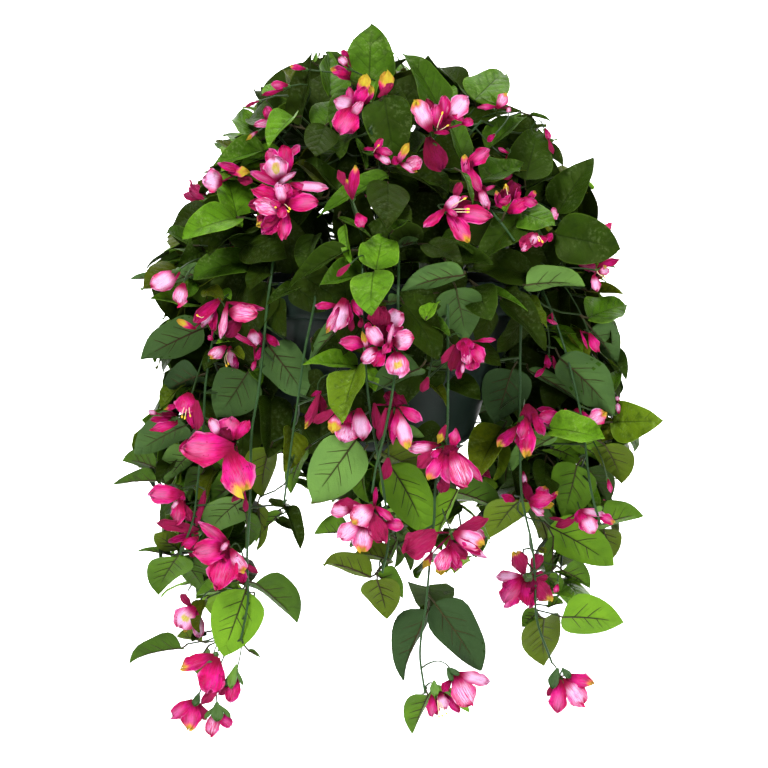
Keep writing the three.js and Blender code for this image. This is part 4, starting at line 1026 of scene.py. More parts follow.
def settle_flower(f, most):
    """Moves a flower along the line of sight until it lies behind what is placed."""
    pts = np.concatenate([petal_surface(*shape, 0.0, COARSE_U, COARSE_V)[0].reshape(-1, 3)
                          for shape, _, _, _ in f["shapes"]])
    ray = unit(f["hub"] - EYE)
    step = ray * push_back(pts, 1.0, most)
    for shape, _, _, _ in f["shapes"]:
        shape[0] = shape[0] + step
    f["hub"] = f["hub"] + step
    f["threads"] = [(a + step, b + step) for a, b in f["threads"]]
    mark(pts + step)


def flower_piece(name, f):
    """The piece of a flower read off the photograph."""
    soup = Soup()
    hub = f["hub"]
    for shape, tint, mat, flip in f["shapes"]:
        add_petal(soup, tint, *shape, mat=mat, flip=flip)
        base, axis, out = shape[:3]
        claw = bezier(hub, (hub + base) / 2 - axis * 1.5, base + out * 1.5, 5)
        # a petal's claw gets shade 0.7: painted shade deep in the throat
        tube(soup, claw, A([.7, .7, .8, .9, .6]), 5, tint if mat == GREEN else (0.0, 0.7, tint[2]), mat)
    for a, b in f["threads"]:
        stamen(soup, bezier(hub, a, b, 5), [.4, .38, .36, .33, .3], b - a)
    calyx(soup, hub, f["axis"], max(1.4, 0.045 * f["size"]), f["size"] * 0.8, rng.uniform(0, 6.28))
    return soup.build(name, [M["petal"], M["stamen"], M["stem"]])


# ---- materials ----------------------------------------------------------------------------------
class Nodes:
    """Short forms for building a node material."""

    def __init__(self, name):
        self.m = bpy.data.materials.new(name)
        self.m.use_nodes = True
        self.t = self.m.node_tree
        self.p = self.t.nodes["Principled BSDF"]

    def node(self, kind, *inputs, **values):
        """A new node with its first inputs filled."""
        n = self.t.nodes.new(kind)
        for k, v in values.items():
            setattr(n, k, v)
        for socket, v in zip(n.inputs, inputs):
            self.put(socket, v)
        return n

    def set(self, name, value):
        """Gives the Principled node's input a value or a link."""
        self.put(self.p.inputs[name], value)

    def put(self, socket, value):
        if isinstance(value, bpy.types.NodeSocket):
            self.t.links.new(value, socket)
        elif value is not None:
            socket.default_value = value

    def math(self, op, a, b=None, c=None, clamp=False):
        return self.node("ShaderNodeMath", a, b, c, operation=op, use_clamp=clamp).outputs[0]

    def mul(self, a, b):
        return self.math("MULTIPLY", a, b)

    def add(self, a, b, clamp=False):
        return self.math("ADD", a, b, clamp=clamp)

    def sub(self, a, b):
        return self.math("SUBTRACT", a, b)

    def mad(self, a, b, c, clamp=False):
        """a * b + c"""
        return self.math("MULTIPLY_ADD", a, b, c, clamp)

    def mix(self, fac, a, b):
        n = self.node("ShaderNodeMix", fac, data_type="RGBA", blend_type="MIX")
        self.put(n.inputs[6], a)
        self.put(n.inputs[7], b)
        return n.outputs[2]

    def step(self, x, lo, hi):
        """0 below lo, 1 above hi, smooth between; lo may be above hi."""
        ends = (hi, lo, 1.0, 0.0) if lo > hi else (lo, hi, 0.0, 1.0)
        return self.node("ShaderNodeMapRange", x, *ends, interpolation_type="SMOOTHSTEP").outputs[0]

    def ramp(self, x, stops):
        n = self.node("ShaderNodeValToRGB", x)
        e = n.color_ramp.elements
        while len(e) < len(stops):
            e.new(0.5)
        for k, (pos, col) in enumerate(stops):
            e[k].position = pos
            e[k].color = (*col, 1)
        return n.outputs[0]

    def noise(self, vec, scale, detail=3.0, rough=0.55):
        n = self.node("ShaderNodeTexNoise")
        self.put(n.inputs["Vector"], vec)
        n.inputs["Scale"].default_value = scale
        n.inputs["Detail"].default_value = detail
        n.inputs["Roughness"].default_value = rough
        return n.outputs[0]

    def xyz(self, x, y, z):
        return self.node("ShaderNodeCombineXYZ", x, y, z).outputs[0]

    def split(self, vec):
        return self.node("ShaderNodeSeparateXYZ", vec).outputs[:3]

    def bump(self, height, strength, distance):
        n = self.node("ShaderNodeBump")
        self.put(n.inputs["Height"], height)
        n.inputs["Strength"].default_value = strength
        n.inputs["Distance"].default_value = distance
        self.set("Normal", n.outputs[0])

    def tint(self):
        n = self.node("ShaderNodeAttribute", attribute_name="tint")
        c = self.node("ShaderNodeSeparateColor", n.outputs["Color"])
        return *c.outputs[:3], n.outputs["Alpha"]

    def uv(self):
        return self.split(self.node("ShaderNodeUVMap", uv_map="Pattern").outputs[0])

    def rim(self):
        return self.node("ShaderNodeAttribute", attribute_name="rim").outputs["Fac"]

    def place(self):
        return self.node("ShaderNodeTexCoord").outputs["Object"]


def leaf_material():
    """Printed cloth leaf; tint gives tone, olive and a seed, and tells the upper side from the underside."""
    k = Nodes("printed_leaf")
    tone, olive, seed, side = k.tint()
    u, v, _ = k.uv()
    ay = k.math("ABSOLUTE", k.sub(v, 0.5))
    rim = k.rim()
    shift = k.mul(seed, 37.0)
    vec = k.xyz(u, v, shift)
    cloud = k.noise(vec, 3.2, 3.0)
    patch = k.noise(k.xyz(v, u, shift), 6.5, 3.0, 0.6)
    grain = k.noise(vec, 46.0, 4.0, 0.7)
    wob = k.mad(k.noise(vec, 7.0, 2.0), 0.07, -0.035)
    # veins: midrib, then side veins that leave it forward
    yw = k.add(ay, k.mul(wob, 0.25))
    midrib = k.mul(k.step(yw, 0.022, 0.004), k.step(u, 0.95, 0.45))
    s = k.add(k.mad(ay, -0.95, u), wob)
    saw = k.math("ABSOLUTE", k.sub(k.math("FRACT", k.mul(s, 5.4)), 0.5))
    reach = k.mul(k.step(ay, 0.30, 0.10), k.step(s, 0.0, 0.12))
    reach = k.mul(reach, k.step(k.noise(vec, 5.0, 1.0), 0.36, 0.66))
    veins = k.mul(k.step(saw, 0.11, 0.01), reach)
    line = k.math("MAXIMUM", midrib, k.mul(veins, 0.75))
    quilt = k.mul(k.step(saw, 0.0, 0.42), k.step(ay, 0.42, 0.05))
    vor = k.node("ShaderNodeTexVoronoi", feature="DISTANCE_TO_EDGE")
    k.put(vor.inputs["Vector"], vec)
    vor.inputs["Scale"].default_value = 24.0
    net = k.step(vor.outputs["Distance"], 0.10, 0.0)
    # upper side
    t2 = k.add(tone, k.mad(cloud, 0.34, -0.17), clamp=True)
    green = k.ramp(t2, [(0.0, (0.003, 0.009, 0.001)), (0.28, (0.010, 0.032, 0.002)),
                        (0.55, (0.030, 0.090, 0.004)), (0.8, (0.068, 0.175, 0.006)),
                        (1.0, (0.125, 0.275, 0.012))])
    top = k.mix(k.mul(olive, 0.75), green, (0.10, 0.11, 0.003, 1))
    top = k.mix(k.mul(k.step(patch, 0.45, 0.75), 0.55), top, (0.008, 0.020, 0.002, 1))
    # painted sheen: patches of the upper side mixed towards pale grey-green stand for a highlight
    sheen_noise = k.noise(k.xyz(k.mul(u, 1.4), v, k.add(shift, 5.0)), 15.0, 4.0, 0.6)
    wide = k.step(k.noise(k.xyz(u, v, k.add(shift, 9.0)), 2.6, 1.0), 0.46, 0.62)
    painted_sheen = k.mul(k.mul(k.step(sheen_noise, 0.46, 0.72), wide), 0.34)
    top = k.mix(painted_sheen, top, k.mix(tone, (0.060, 0.082, 0.040, 1), (0.30, 0.42, 0.12, 1)))
    # darker towards the leaf's foot: painted shade where it tucks in under other leaves
    top = k.mix(k.mul(k.step(u, 0.28, 0.0), 0.4), top, (0.015, 0.03, 0.003, 1))
    top = k.mix(k.mul(line, 0.6), top, (0.007, 0.014, 0.002, 1))
    top = k.mix(k.mul(net, 0.25), top, (0.008, 0.022, 0.002, 1))
    # lighter along the very edge, more on brighter leaves: a painted highlight where the edge catches light
    top = k.mix(k.mul(k.mul(k.step(rim, 0.93, 1.0), tone), 0.5), top, (0.18, 0.34, 0.03, 1))
    # underside: flatter and a little greyer
    low = k.ramp(t2, [(0.0, (0.008, 0.020, 0.006)), (0.3, (0.018, 0.048, 0.009)),
                      (0.55, (0.052, 0.130, 0.009)), (0.8, (0.105, 0.235, 0.011)),
                      (1.0, (0.16, 0.32, 0.015))])
    low = k.mix(k.mul(grain, 0.12), low, (0.10, 0.18, 0.05, 1))
    low = k.mix(k.mul(k.step(olive, 0.03, 0.0), 0.55), low,
                k.mix(tone, (0.012, 0.024, 0.014, 1), (0.115, 0.205, 0.075, 1)))
    low = k.mix(k.mul(olive, 0.75), low, (0.12, 0.13, 0.004, 1))
    low = k.mix(k.mul(line, 0.35), low, (0.02, 0.025, 0.006, 1))
    k.set("Base Color", k.mix(side, top, low))
    rough = k.mad(cloud, 0.34, k.mad(side, 0.25, 0.26))
    k.set("Roughness", rough)
    k.set("Specular IOR Level", k.mad(tone, 0.12, 0.035))
    k.set("Specular Tint", (0.85, 1.0, 0.4, 1))
    height = k.add(k.mul(line, -0.8), k.mad(net, -0.3, k.mul(grain, 0.5)))
    height = k.add(height, k.mul(quilt, 0.9))
    k.bump(height, 0.6, 0.0006)
    return k.m


def petal_material():
    """Printed cloth petal; tint gives yellow, shade and a seed, and tells the inner side from the outer."""
    k = Nodes("printed_petal")
    yellow, shade, seed, side = k.tint()
    u, v, _ = k.uv()
    rim = k.rim()
    ay = k.math("ABSOLUTE", k.mul(k.sub(v, 0.5), 2.0))
    shift = k.mul(seed, 41.0)
    streak = k.noise(k.xyz(k.mul(u, 1.5), k.mul(v, 15.0), shift), 2.2, 4.0, 0.6)
    fine = k.noise(k.xyz(k.mul(u, 2.2), k.mul(v, 34.0), shift), 2.4, 3.0, 0.6)
    cloud = k.noise(k.xyz(u, v, shift), 2.6, 2.0)
    # pale middle with fine lengthwise streaks
    white = k.step(shade, 0.25, 0.02)
    pale = k.mul(k.step(k.mad(white, 0.17, u), 0.30, 0.66),
                  k.step(k.mad(white, -0.22, ay), 0.80, 0.05))
    pale = k.mul(pale, k.step(u, 1.0, 0.80))
    thread = k.add(streak, k.mad(seed, 0.34, k.mad(white, 0.10, -0.08)))
    pale = k.mul(pale, k.step(thread, 0.40, 0.68))
    edge = k.mul(k.math("MAXIMUM", k.step(rim, 0.80, 1.0), k.step(u, 0.88, 1.0)), k.step(cloud, 0.40, 0.58))
    pale = k.mul(pale, k.mad(shade, -1.55, 0.92, clamp=True))
    edge = k.mul(k.mul(edge, k.step(u, 0.35, 0.7)), k.mad(shade, -0.75, 0.82))
    pale = k.math("MAXIMUM", pale, edge)
    pale = k.mul(pale, k.mad(k.step(fine, 0.50, 0.64), -0.55, 1.0))
    pink = k.mix(k.step(cloud, 0.35, 0.7), (0.53, 0.0, 0.085, 1), (0.76, 0.006, 0.25, 1))
    pink = k.mix(k.mul(k.step(fine, 0.56, 0.70), 0.22), pink, (0.76, 0.15, 0.46, 1))
    pink = k.mix(k.mul(k.step(streak, 0.50, 0.64), 0.65), pink, (0.22, 0.0, 0.030, 1))
    c = k.mix(pale, pink, k.mix(white, (0.80, 0.33, 0.64, 1), (0.88, 0.57, 0.84, 1)))
    # darker at the petal's foot: partly the flower's own dark throat, partly painted shade deep in it
    c = k.mix(k.mul(k.step(u, 0.46, 0.06), 0.92), c, (0.15, 0.0, 0.015, 1))
    # shade darkens towards near-black red: painted shade on petals read off the front, random tone on others
    deep = k.mul(k.mul(shade, shade), 0.88)
    c = k.mix(deep, c, (0.075, 0.0, 0.010, 1))
    far = k.add(k.mad(ay, -0.16, u), k.mad(streak, 0.26, -0.13))
    gold = k.step(yellow, 0.3, 0.42)
    far = k.mad(k.step(yellow, 0.7, 0.95), 0.36, far)
    c = k.mix(k.mul(gold, k.step(far, 0.70, 0.84)), c, (0.74, 0.16, 0.12, 1))
    tipped = k.mul(gold, k.step(far, 0.79, 0.92))
    du, dv = k.mad(cloud, 0.6, k.sub(u, 0.88)), k.sub(v, 0.52)
    spot = k.step(k.math("SQRT", k.add(k.mul(du, du), k.mul(dv, dv))), 0.24, 0.12)
    spot = k.mul(spot, k.mul(k.step(yellow, 0.1, 0.2), k.sub(1.0, gold)))
    tipped = k.math("MAXIMUM", tipped, spot)
    tipped = k.mul(tipped, k.mad(k.step(fine, 0.42, 0.66), -0.5, 1.0))
    c = k.mix(tipped, c, k.mix(k.step(cloud, 0.40, 0.60), (0.50, 0.34, 0.012, 1), (0.55, 0.50, 0.02, 1)))
    back = k.mix(k.mul(k.step(streak, 0.45, 0.75), 0.5), (0.42, 0.003, 0.085, 1), (0.72, 0.17, 0.36, 1))
    # shade darkens the reverse side too: painted shade
    back = k.mix(k.mul(shade, 0.8), back, (0.19, 0.008, 0.032, 1))
    back = k.mix(k.mul(tipped, 0.8), back, (0.60, 0.50, 0.015, 1))
    k.set("Base Color", k.mix(k.mul(side, 0.8), c, back))
    k.set("Roughness", k.mad(streak, 0.2, 0.55))
    k.set("Specular IOR Level", 0.12)
    weave = k.noise(k.xyz(u, v, shift), 60.0, 2.0)
    crease = k.noise(k.xyz(k.mul(u, 2.0), k.mul(v, 5.0), shift), 3.0, 2.0)
    height = k.mad(streak, 1.3, k.mul(weave, 0.3))
    k.bump(k.mad(crease, 1.2, height), 0.9, 0.0014)
    return k.m


def stem_material():
    """Green plastic-covered wire; the first tint number turns it to the brown of ribs and leaf stalks."""
    k = Nodes("stem_plastic")
    brown, bright, _, _ = k.tint()
    co = k.place()
    n = k.noise(co, 160.0, 3.0)
    n2 = k.noise(co, 900.0, 2.0)
    green = k.mix(n, (0.006, 0.026, 0.006, 1), (0.024, 0.078, 0.018, 1))
    green = k.mix(bright, green, k.mix(n, (0.060, 0.150, 0.012, 1), (0.130, 0.270, 0.030, 1)))
    tan = k.mix(n, (0.016, 0.010, 0.005, 1), (0.050, 0.032, 0.017, 1))
    k.set("Base Color", k.mix(brown, green, tan))
    k.set("Roughness", k.mad(n, 0.2, k.mad(brown, 0.2, 0.26)))
    k.set("Specular IOR Level", k.mad(brown, -0.22, 0.26))
    k.bump(n2, 0.35, 0.0003)
    return k.m


def stamen_material():
    """Pale threads, orange to yellow anthers."""
    k = Nodes("stamen")
    amount, _, _, _ = k.tint()
    co = k.place()
    n = k.noise(co, 1500.0, 2.0)
    thread = k.mix(n, (0.72, 0.55, 0.30, 1), (0.85, 0.72, 0.45, 1))
    anther = k.mix(n, (0.80, 0.36, 0.02, 1), (0.85, 0.68, 0.03, 1))
    k.set("Base Color", k.mix(k.step(amount, 0.6, 0.9), thread, anther))
    k.set("Roughness", 0.6)
    k.bump(n, 0.4, 0.0003)
    return k.m


def pot_material():
    """Dark green plastic with a few scuffs, dull on the underside."""
    k = Nodes("pot_plastic")
    co = k.place()
    x, y, z = k.split(co)
    soft = k.noise(co, 14.0, 3.0)
    fine = k.noise(co, 420.0, 3.0, 0.65)
    flow = k.noise(k.xyz(x, y, k.mul(z, 9.0)), 22.0, 3.0)
    base = k.mix(soft, (0.006, 0.011, 0.009, 1), (0.011, 0.019, 0.015, 1))
    base = k.mix(k.mul(k.step(fine, 0.62, 0.8), 0.3), base, (0.04, 0.045, 0.04, 1))
    k.set("Base Color", base)
    k.set("Roughness", k.mad(soft, 0.16, k.mad(fine, 0.08, 0.28)))
    k.set("Specular IOR Level", k.mul(k.step(z, -0.1390, -0.1365), 0.10))
    k.bump(k.mad(flow, 0.8, k.mul(fine, 0.25)), 0.25, 0.0006)
    return k.m


def plain_pair(name, low, high, scale, rough, strength, distance):
    """Two colours mixed by noise, with a bump."""
    k = Nodes(name)
    co = k.place()
    n = k.noise(co, scale, 5.0, 0.65)
    k.set("Base Color", k.mix(k.step(n, 0.3, 0.7), (*low, 1), (*high, 1)))
    k.set("Roughness", k.mad(n, 0.2, rough))
    k.bump(n, strength, distance)
    return k.m


M = {"leaf": leaf_material(), "petal": petal_material(), "stem": stem_material(), "stamen": stamen_material(),
     "pot": pot_material(),
     "foam": plain_pair("floral_foam", (0.035, 0.06, 0.028), (0.09, 0.13, 0.06), 420.0, 0.78, 0.9, 0.001),
     "trunk": plain_pair("moulded_bark", (0.035, 0.024, 0.015), (0.11, 0.08, 0.05), 120.0, 0.55, 0.8, 0.002)}


# ---- place the leaves and blossoms read from the front -----------------------------------------
# rows between which the photograph shows a vine's bare stem
SEEN_STEM = {"vine_01": (288, 600), "vine_02": (297, 510), "vine_03": (396, 500), "vine_04": (396, 490),
             "vine_05": (470, 600), "vine_06": (440, 650), "vine_08": (500, 560)}
for n, (y0, y1) in SEEN_STEM.items():
    line = LINES[n][OVER_RIM:]
    row = pixel(line)[1]
    mark(line[(row > y0) & (row < y1)])
leaves = [read_leaf(r) for r in LEAVES]
flowers = [read_flower(row) for row in FLOWERS]
for q in sorted((q for q in leaves if q["ahead"]), key=lambda q: -q["area"]):
    settle(q)
for f in flowers:
    settle_flower(f, 8.0 if f["node"] else 18.0)
for q in sorted((q for q in leaves if not q["ahead"]), key=lambda q: -q["area"]):
    settle(q)

# ---- near-black leaves that close the crown and the front of the pot, dark as painted shade ---------
# outline of the area without background, and the holes in it (x, y, radius)
DENSE = [(371, 60), (398, 80), (440, 84), (500, 92), (528, 128), (574, 176), (604, 245), (592, 300),
         (612, 322), (606, 395), (588, 415), (540, 424), (505, 412), (488, 398), (472, 428), (455, 440),
         (400, 440), (330, 440), (296, 432), (272, 462), (244, 462), (236, 430), (180, 415), (172, 330),
         (165, 292), (192, 250), (196, 226), (226, 172), (242, 125), (270, 98), (312, 75), (345, 62)]
OPEN = [(306, 326, 25), (283, 410, 10), (345, 441, 9), (372, 441, 7), (480, 418, 9), (464, 447, 8),
        (486, 404, 7)]
# where the photograph shows the pot's wall between leaves, and where it shows the background (x, y, radius)
POT_SEEN = [(292, 408, 10), (303, 422, 13), (322, 434, 9), (345, 441, 8), (372, 434, 8), (382, 442, 7),
            (424, 396, 12), (440, 408, 14), (455, 417, 14), (466, 426, 8), (432, 420, 9), (303, 322, 18),
            (298, 342, 9)]
CLEAR = [(481, 420, 8), (466, 452, 8), (276, 484, 12), (273, 500, 14), (268, 520, 10), (290, 540, 14),
         (308, 512, 14), (324, 512, 9), (312, 535, 14)]


def in_circles(px, py, circles):
    """True if the pixel lies in one of the circles."""
    return any(math.hypot(px - x, py - y) < r for x, y, r in circles)


def dense(px, py):
    """True if the pixel lies inside the outline DENSE and in none of its holes."""
    if in_circles(px, py, OPEN):
        return False
    odd = False
    for (x0, y0), (x1, y1) in zip(DENSE, DENSE[1:] + DENSE[:1]):
        if (y0 > py) != (y1 > py) and px < (x1 - x0) * (py - y0) / (y1 - y0) + x0:
            odd = not odd
    return odd


TURNS, FREE_TURNS = 16, 6           # tries a cell gets, and how many of them with a leaf that stands free
fill = []
ALL_CELLS = [(i, j) for i in range(BINS) for j in range(BINS)]
for i, j in ALL_CELLS:
    px, py = middle(i, j)
    if in_circles(px, py, POT_SEEN):
        p = at(px, py, 0.0)
        wall = at(px, py, math.sqrt(max(0.0, np.interp(p[2], POT_Z, POT_R) ** 2 - p[0] ** 2)))
        nearest_seen[i, j] = min(nearest_seen[i, j], (wall - EYE) @ FWD)
CROWN = nearest_seen < EMPTY
bare = [(i, j) for i, j in ALL_CELLS if dense(*middle(i, j))]
for i, j in bare:
    CROWN[i, j] = True
CLEARED = A([in_circles(*middle(i, j), CLEAR) for i, j in ALL_CELLS]).reshape(BINS, BINS)
rng.shuffle(bare)
for i, j in bare:
    if nearest_seen[i, j] < EMPTY:
        continue
    px, py = middle(i, j)
    best = None
    for turn in range(TURNS):
        lean = rng.uniform(-1.6, 1.6) + (math.pi / 2 if py < 290 else -math.pi / 2)
        flat = RIGHT * math.cos(lean) + UP * math.sin(lean)
        close = turn >= FREE_TURNS      # lies flat against the pot
        d = unit(flat + NEAR * rng.uniform(-0.3, 0.6) * (0.3 if close else 1.0))
        centre = at(px, py, first_depth(px, py) - rng.uniform(10, 30))
        n = unit(NEAR + UP * rng.uniform(-0.1, 0.8) + RIGHT * rng.uniform(-0.7, 0.7))
        if close:
            n = unit(A([centre[0] * 0.7, centre[1], 0.0]))
        size = rng.uniform(0.5, 0.85) if close else rng.uniform(0.85, 1.05)
        # tones of 0 to 0.14 make them near-black: painted shade in the gaps of the crown
        q = new_leaf(centre - d * LEAF_L * size * rng.uniform(0.3, 0.65), d, n, LEAF_L * size, LEAF_W * size,
                     rng.choice([0.0, 0.02, 0.05, 0.08, 0.14]), 0.1)
        if close:
            q["arc"], q["hook"], q["fold"] = 0.2, 0.0, 0.15
        ci, cj, far = cells(freed(q, 1.5, 70.0, 2)[1])
        hides = max(hiding(ci, cj, far), CLEARED[ci, cj].mean())
        cost = 1 - CROWN[ci, cj].mean() + 3 * hides
        if best is None or cost < best[0]:
            best = (cost, q, hides)
        if cost < 0.04:
            break
    if best[2] < 0.08:
        settle(best[1], 1.5, 70.0)
        fill.append(best[1])
# holes that are left get a small leaf farther in, behind all that is seen, near-black as painted shade
for i, j in bare:
    if nearest_seen[i, j] < EMPTY:
        continue
    for turn in range(TURNS):
        lean, size = rng.uniform(-math.pi, math.pi), rng.uniform(0.55, 0.85)
        d = RIGHT * math.cos(lean) + UP * math.sin(lean)
        centre = at(*middle(i, j), rng.uniform(-50, 100))
        n = unit(NEAR + UP * rng.uniform(0.0, 0.5) + RIGHT * rng.uniform(-0.4, 0.4))
        q = new_leaf(centre - d * LEAF_L * size * 0.5, d, n, LEAF_L * size, LEAF_W * size, 0.04, 0.1)
        pts = leaf_surface(q, PLACE_U, PLACE_V)
        ci, cj, far = cells(pts)
        if (in_pot(pts) < 0 and hiding(ci, cj, far) < 0.05 and CROWN[ci, cj].mean() > 0.92
                and CLEARED[ci, cj].mean() < 0.03):
            mark(pts)
            fill.append(q)
            break
print("closing leaves", len(fill))

# ---- leaves nobody sees from the front: inside, sides and back ----------------------------------
grown = nearest_seen < EMPTY         # where the plant is seen from the front
for step in (1, 1, 0, 0):           # close small gaps between the leaves that were read
    near4 = [np.roll(grown, k, axis) for axis in (0, 1) for k in (-1, 1)]
    grown = np.logical_or.reduce([grown] + near4) if step else np.logical_and.reduce([grown] + near4)
grown &= ~CLEARED
BOX_LO, BOX_HI = A([-222.0, -196.0, -362.0]), A([231.0, 203.0, 222.0])


def fits(q, need):
    """True if the leaf stays inside the outline seen from the front and behind what was read there."""
    pts = leaf_surface(q, PLACE_U, PLACE_V)
    flat = pts.reshape(-1, 3)
    if (flat < BOX_LO).any() or (flat > BOX_HI).any() or in_pot(pts) > 0:
        return False
    i, j, far = cells(pts)
    if grown[i, j].mean() < need:
        return False
    seen = nearest_seen[i, j]
    here = seen < EMPTY
    return not here.any() or (far[here] > seen[here] + 3).mean() > 0.97


def try_leaf(base, d, n, size, need=0.93):
    """Adds a leaf if it fits; the outer ones at the sides and the back are brighter and finer."""
    back = base[1] > -70 and math.hypot(base[0], base[1]) > 0.62 * outline(base[2])
    # inner leaves get dark tones: painted shade of the plant's inside
    tone = rng.choice([.12, .22, .3, .42, .55, .68, .8]) if back else rng.choice([.04, .08, .14, .22, .32])
    q = new_leaf(base, d, n, LEAF_L * size, LEAF_W * size, tone, rng.choice([.05, .1, .1, .3, .55]))
    q["detail"] = int(back)
    good = fits(q, need)
    if good:
        fill.append(q)
    return good


def outward(p):
    """The level direction from the axis to p."""
    return unit(A([p[0], p[1], 0.0]))


def jitter(most):
    """A random level shift."""
    return A([rng.uniform(-most, most), rng.uniform(-most, most), 0])


def spread(k, top, height):
    """Height of try k, evenly spaced from the top down."""
    return top - height * (k + 0.5) / TRIES


def off_pot(r, z, most):
    """The radius r, but beside and below the pot's rim clear of the pot."""
    return max(r, CLEAR_R + rng.uniform(0, most)) if z < 40 else r


# whorls along every stem
for name in NAMES:
    line = LINES[name]
    seg = np.linalg.norm(np.diff(line, axis=0), axis=1)
    run = np.concatenate([[0], np.cumsum(seg)])
    vine = name.startswith("vine")
    gap, first = (25.0, 0.28) if vine else (24.0, 0.42)
    steps = int(run[-1] * (1 - first) / gap)
    for k in range(steps + 1):
        s = run[-1] * (first + (1 - first) * (k + 0.3) / (steps + 1))
        p = A([np.interp(s, run, line[:, c]) for c in range(3)])
        out = outward(p)
        side = np.cross(Z, out)
        got = 0
        for m in range(8):
            ang = math.radians(m * 90 + rng.uniform(-35, 35) + k * 40)
            flat = out * math.cos(ang) + side * math.sin(ang)
            if vine:
                rise = rng.uniform(-1.2, -0.1)
                n = flat * 0.8 + Z * 0.8 + jitter(0.3)
            else:
                rise = rng.uniform(-0.3, 0.6) + max(0.0, p[2] - 70) / 75
                n = Z + flat * -0.1 + jitter(0.4)
            d = unit(flat + Z * rise)
            got += try_leaf(p + d * 5, d, n, rng.uniform(0.78, 1.04) * (1 if m < 4 else 0.7))
            if got > 3:
                break
# leaves spread evenly over the dome and the skirt, reached by twigs
TRIES = 1100
GOLDEN = 137.508                    # golden angle in degrees
DOME_Z = 30                         # above this height leaves face up, below it outwards
CLEAR_R = 138
for k in range(TRIES):
    z = spread(k, 205, 400)
    deep = rng.uniform(0.62, 0.93) if k % 3 else rng.uniform(0.42, 0.65)
    r = off_pot(outline(z) * deep * (0.95 if z < DOME_Z else 1.0), z, 18)
    if z < -60 and rng.random() < min(0.75, (-60 - z) / 170):
        continue
    p = polar(k * GOLDEN, r, z)
    out = outward(p)
    ang = rng.uniform(-1.2, 1.2)
    flat = out * math.cos(ang) + np.cross(Z, out) * math.sin(ang)
    rise = rng.uniform(-0.5, 0.5) + max(0.0, z - 60) / 60 - max(0.0, DOME_Z - z) / 60
    n = Z * 0.9 + out * (0.35 if z > DOME_Z else 0.9) + jitter(0.35)
    try_leaf(p, unit(flat + Z * rise), n, rng.uniform(0.88, 1.06))
# more at the two sides, where the outline showed gaps
for k in range(TRIES):
    z = spread(k, 120, 330)
    a = rng.choice([-12, 192]) + rng.uniform(-42, 42)
    p = polar(a, off_pot(outline(z) * rng.uniform(0.55, 0.95), z, 12), z)
    out = outward(p)
    flat = out + np.cross(Z, out) * rng.uniform(-1.0, 1.0)
    d = unit(flat + Z * (rng.uniform(-0.5, 0.5) - max(0.0, DOME_Z - z) / 60))
    n = Z * 0.8 + out * (0.4 if z > DOME_Z else 0.9) + jitter(0.35)
    try_leaf(p, d, n, rng.uniform(0.72, 1.0), 0.97)

# ---- gather into pieces ------------------------------------------------------------------------------
HUB_REACH = 15                      # leaves whose stalks start closer together (mm) share a twig
by_branch = {n: [] for n in NAMES}
for q in leaves + fill:
    foot = q["base"] - q["d"] * 8
    inward = -unit(A([foot[0], foot[1] * 1.2, max(0.0, foot[2]) * 0.7]))
    p, bend = twig(foot, inward)
    by_branch[ALL_NAMES[int(np.argmin(np.linalg.norm(ALL_POINTS - p, axis=1)))]].append((q, p, bend))
for name in NAMES:
    soup, line = Soup(), LINES[name]
    if int(name[-2:]) > 8 and name.startswith("vine"):      # a back vine shows no bare end
        last = max(int(np.argmin(np.linalg.norm(line - p, axis=1))) for q, p, bend in by_branch[name])
        line = line[:last + 2]
    radius = np.interp(np.linspace(0, 1, len(line)), [0, .25, 1], [1.7, 1.15, 0.95])
    tube(soup, line, radius, 8, (0.1, 0.0, rng.random()), STEM)
    hubs = []
    for q, p, bend in by_branch[name]:
        foot = q["base"] - q["d"] * 3
        sides = 5 if q["detail"] == 2 else 4
        hub = next((h for h in hubs if np.linalg.norm(h - foot) < HUB_REACH), None)
        if hub is None:
            gap = np.linalg.norm(foot - p)
            hub = foot + (p - foot) * min(0.8, 6.0 / (gap + 1e-6))
            hubs.append(hub)
            if gap > 4:
                tube(soup, bezier(p, bend, hub, 6), A([1.0, .95, .9, .85, .8, .8]), sides,
                     (0.35, 0.0, q["seed"]), STEM)
        stalk = bezier(hub, (hub + foot) / 2 - q["n"] * 0.5, q["base"] + q["d"] * 0.5, 3)
        tube(soup, stalk, A([.95, .85, .75]), sides, (0.85, 0.0, q["seed"]), STEM)
        add_leaf(soup, q)
    ob = soup.build(name + "_foliage", [M["stem"], M["leaf"]])
    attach(ob, "root")
    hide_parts(name)

for i, f in enumerate(flowers):
    ob = flower_piece("flower_%03d" % (i + 1), f)
    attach(ob, "root")
    if f["node"]:
        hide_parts(f["node"])
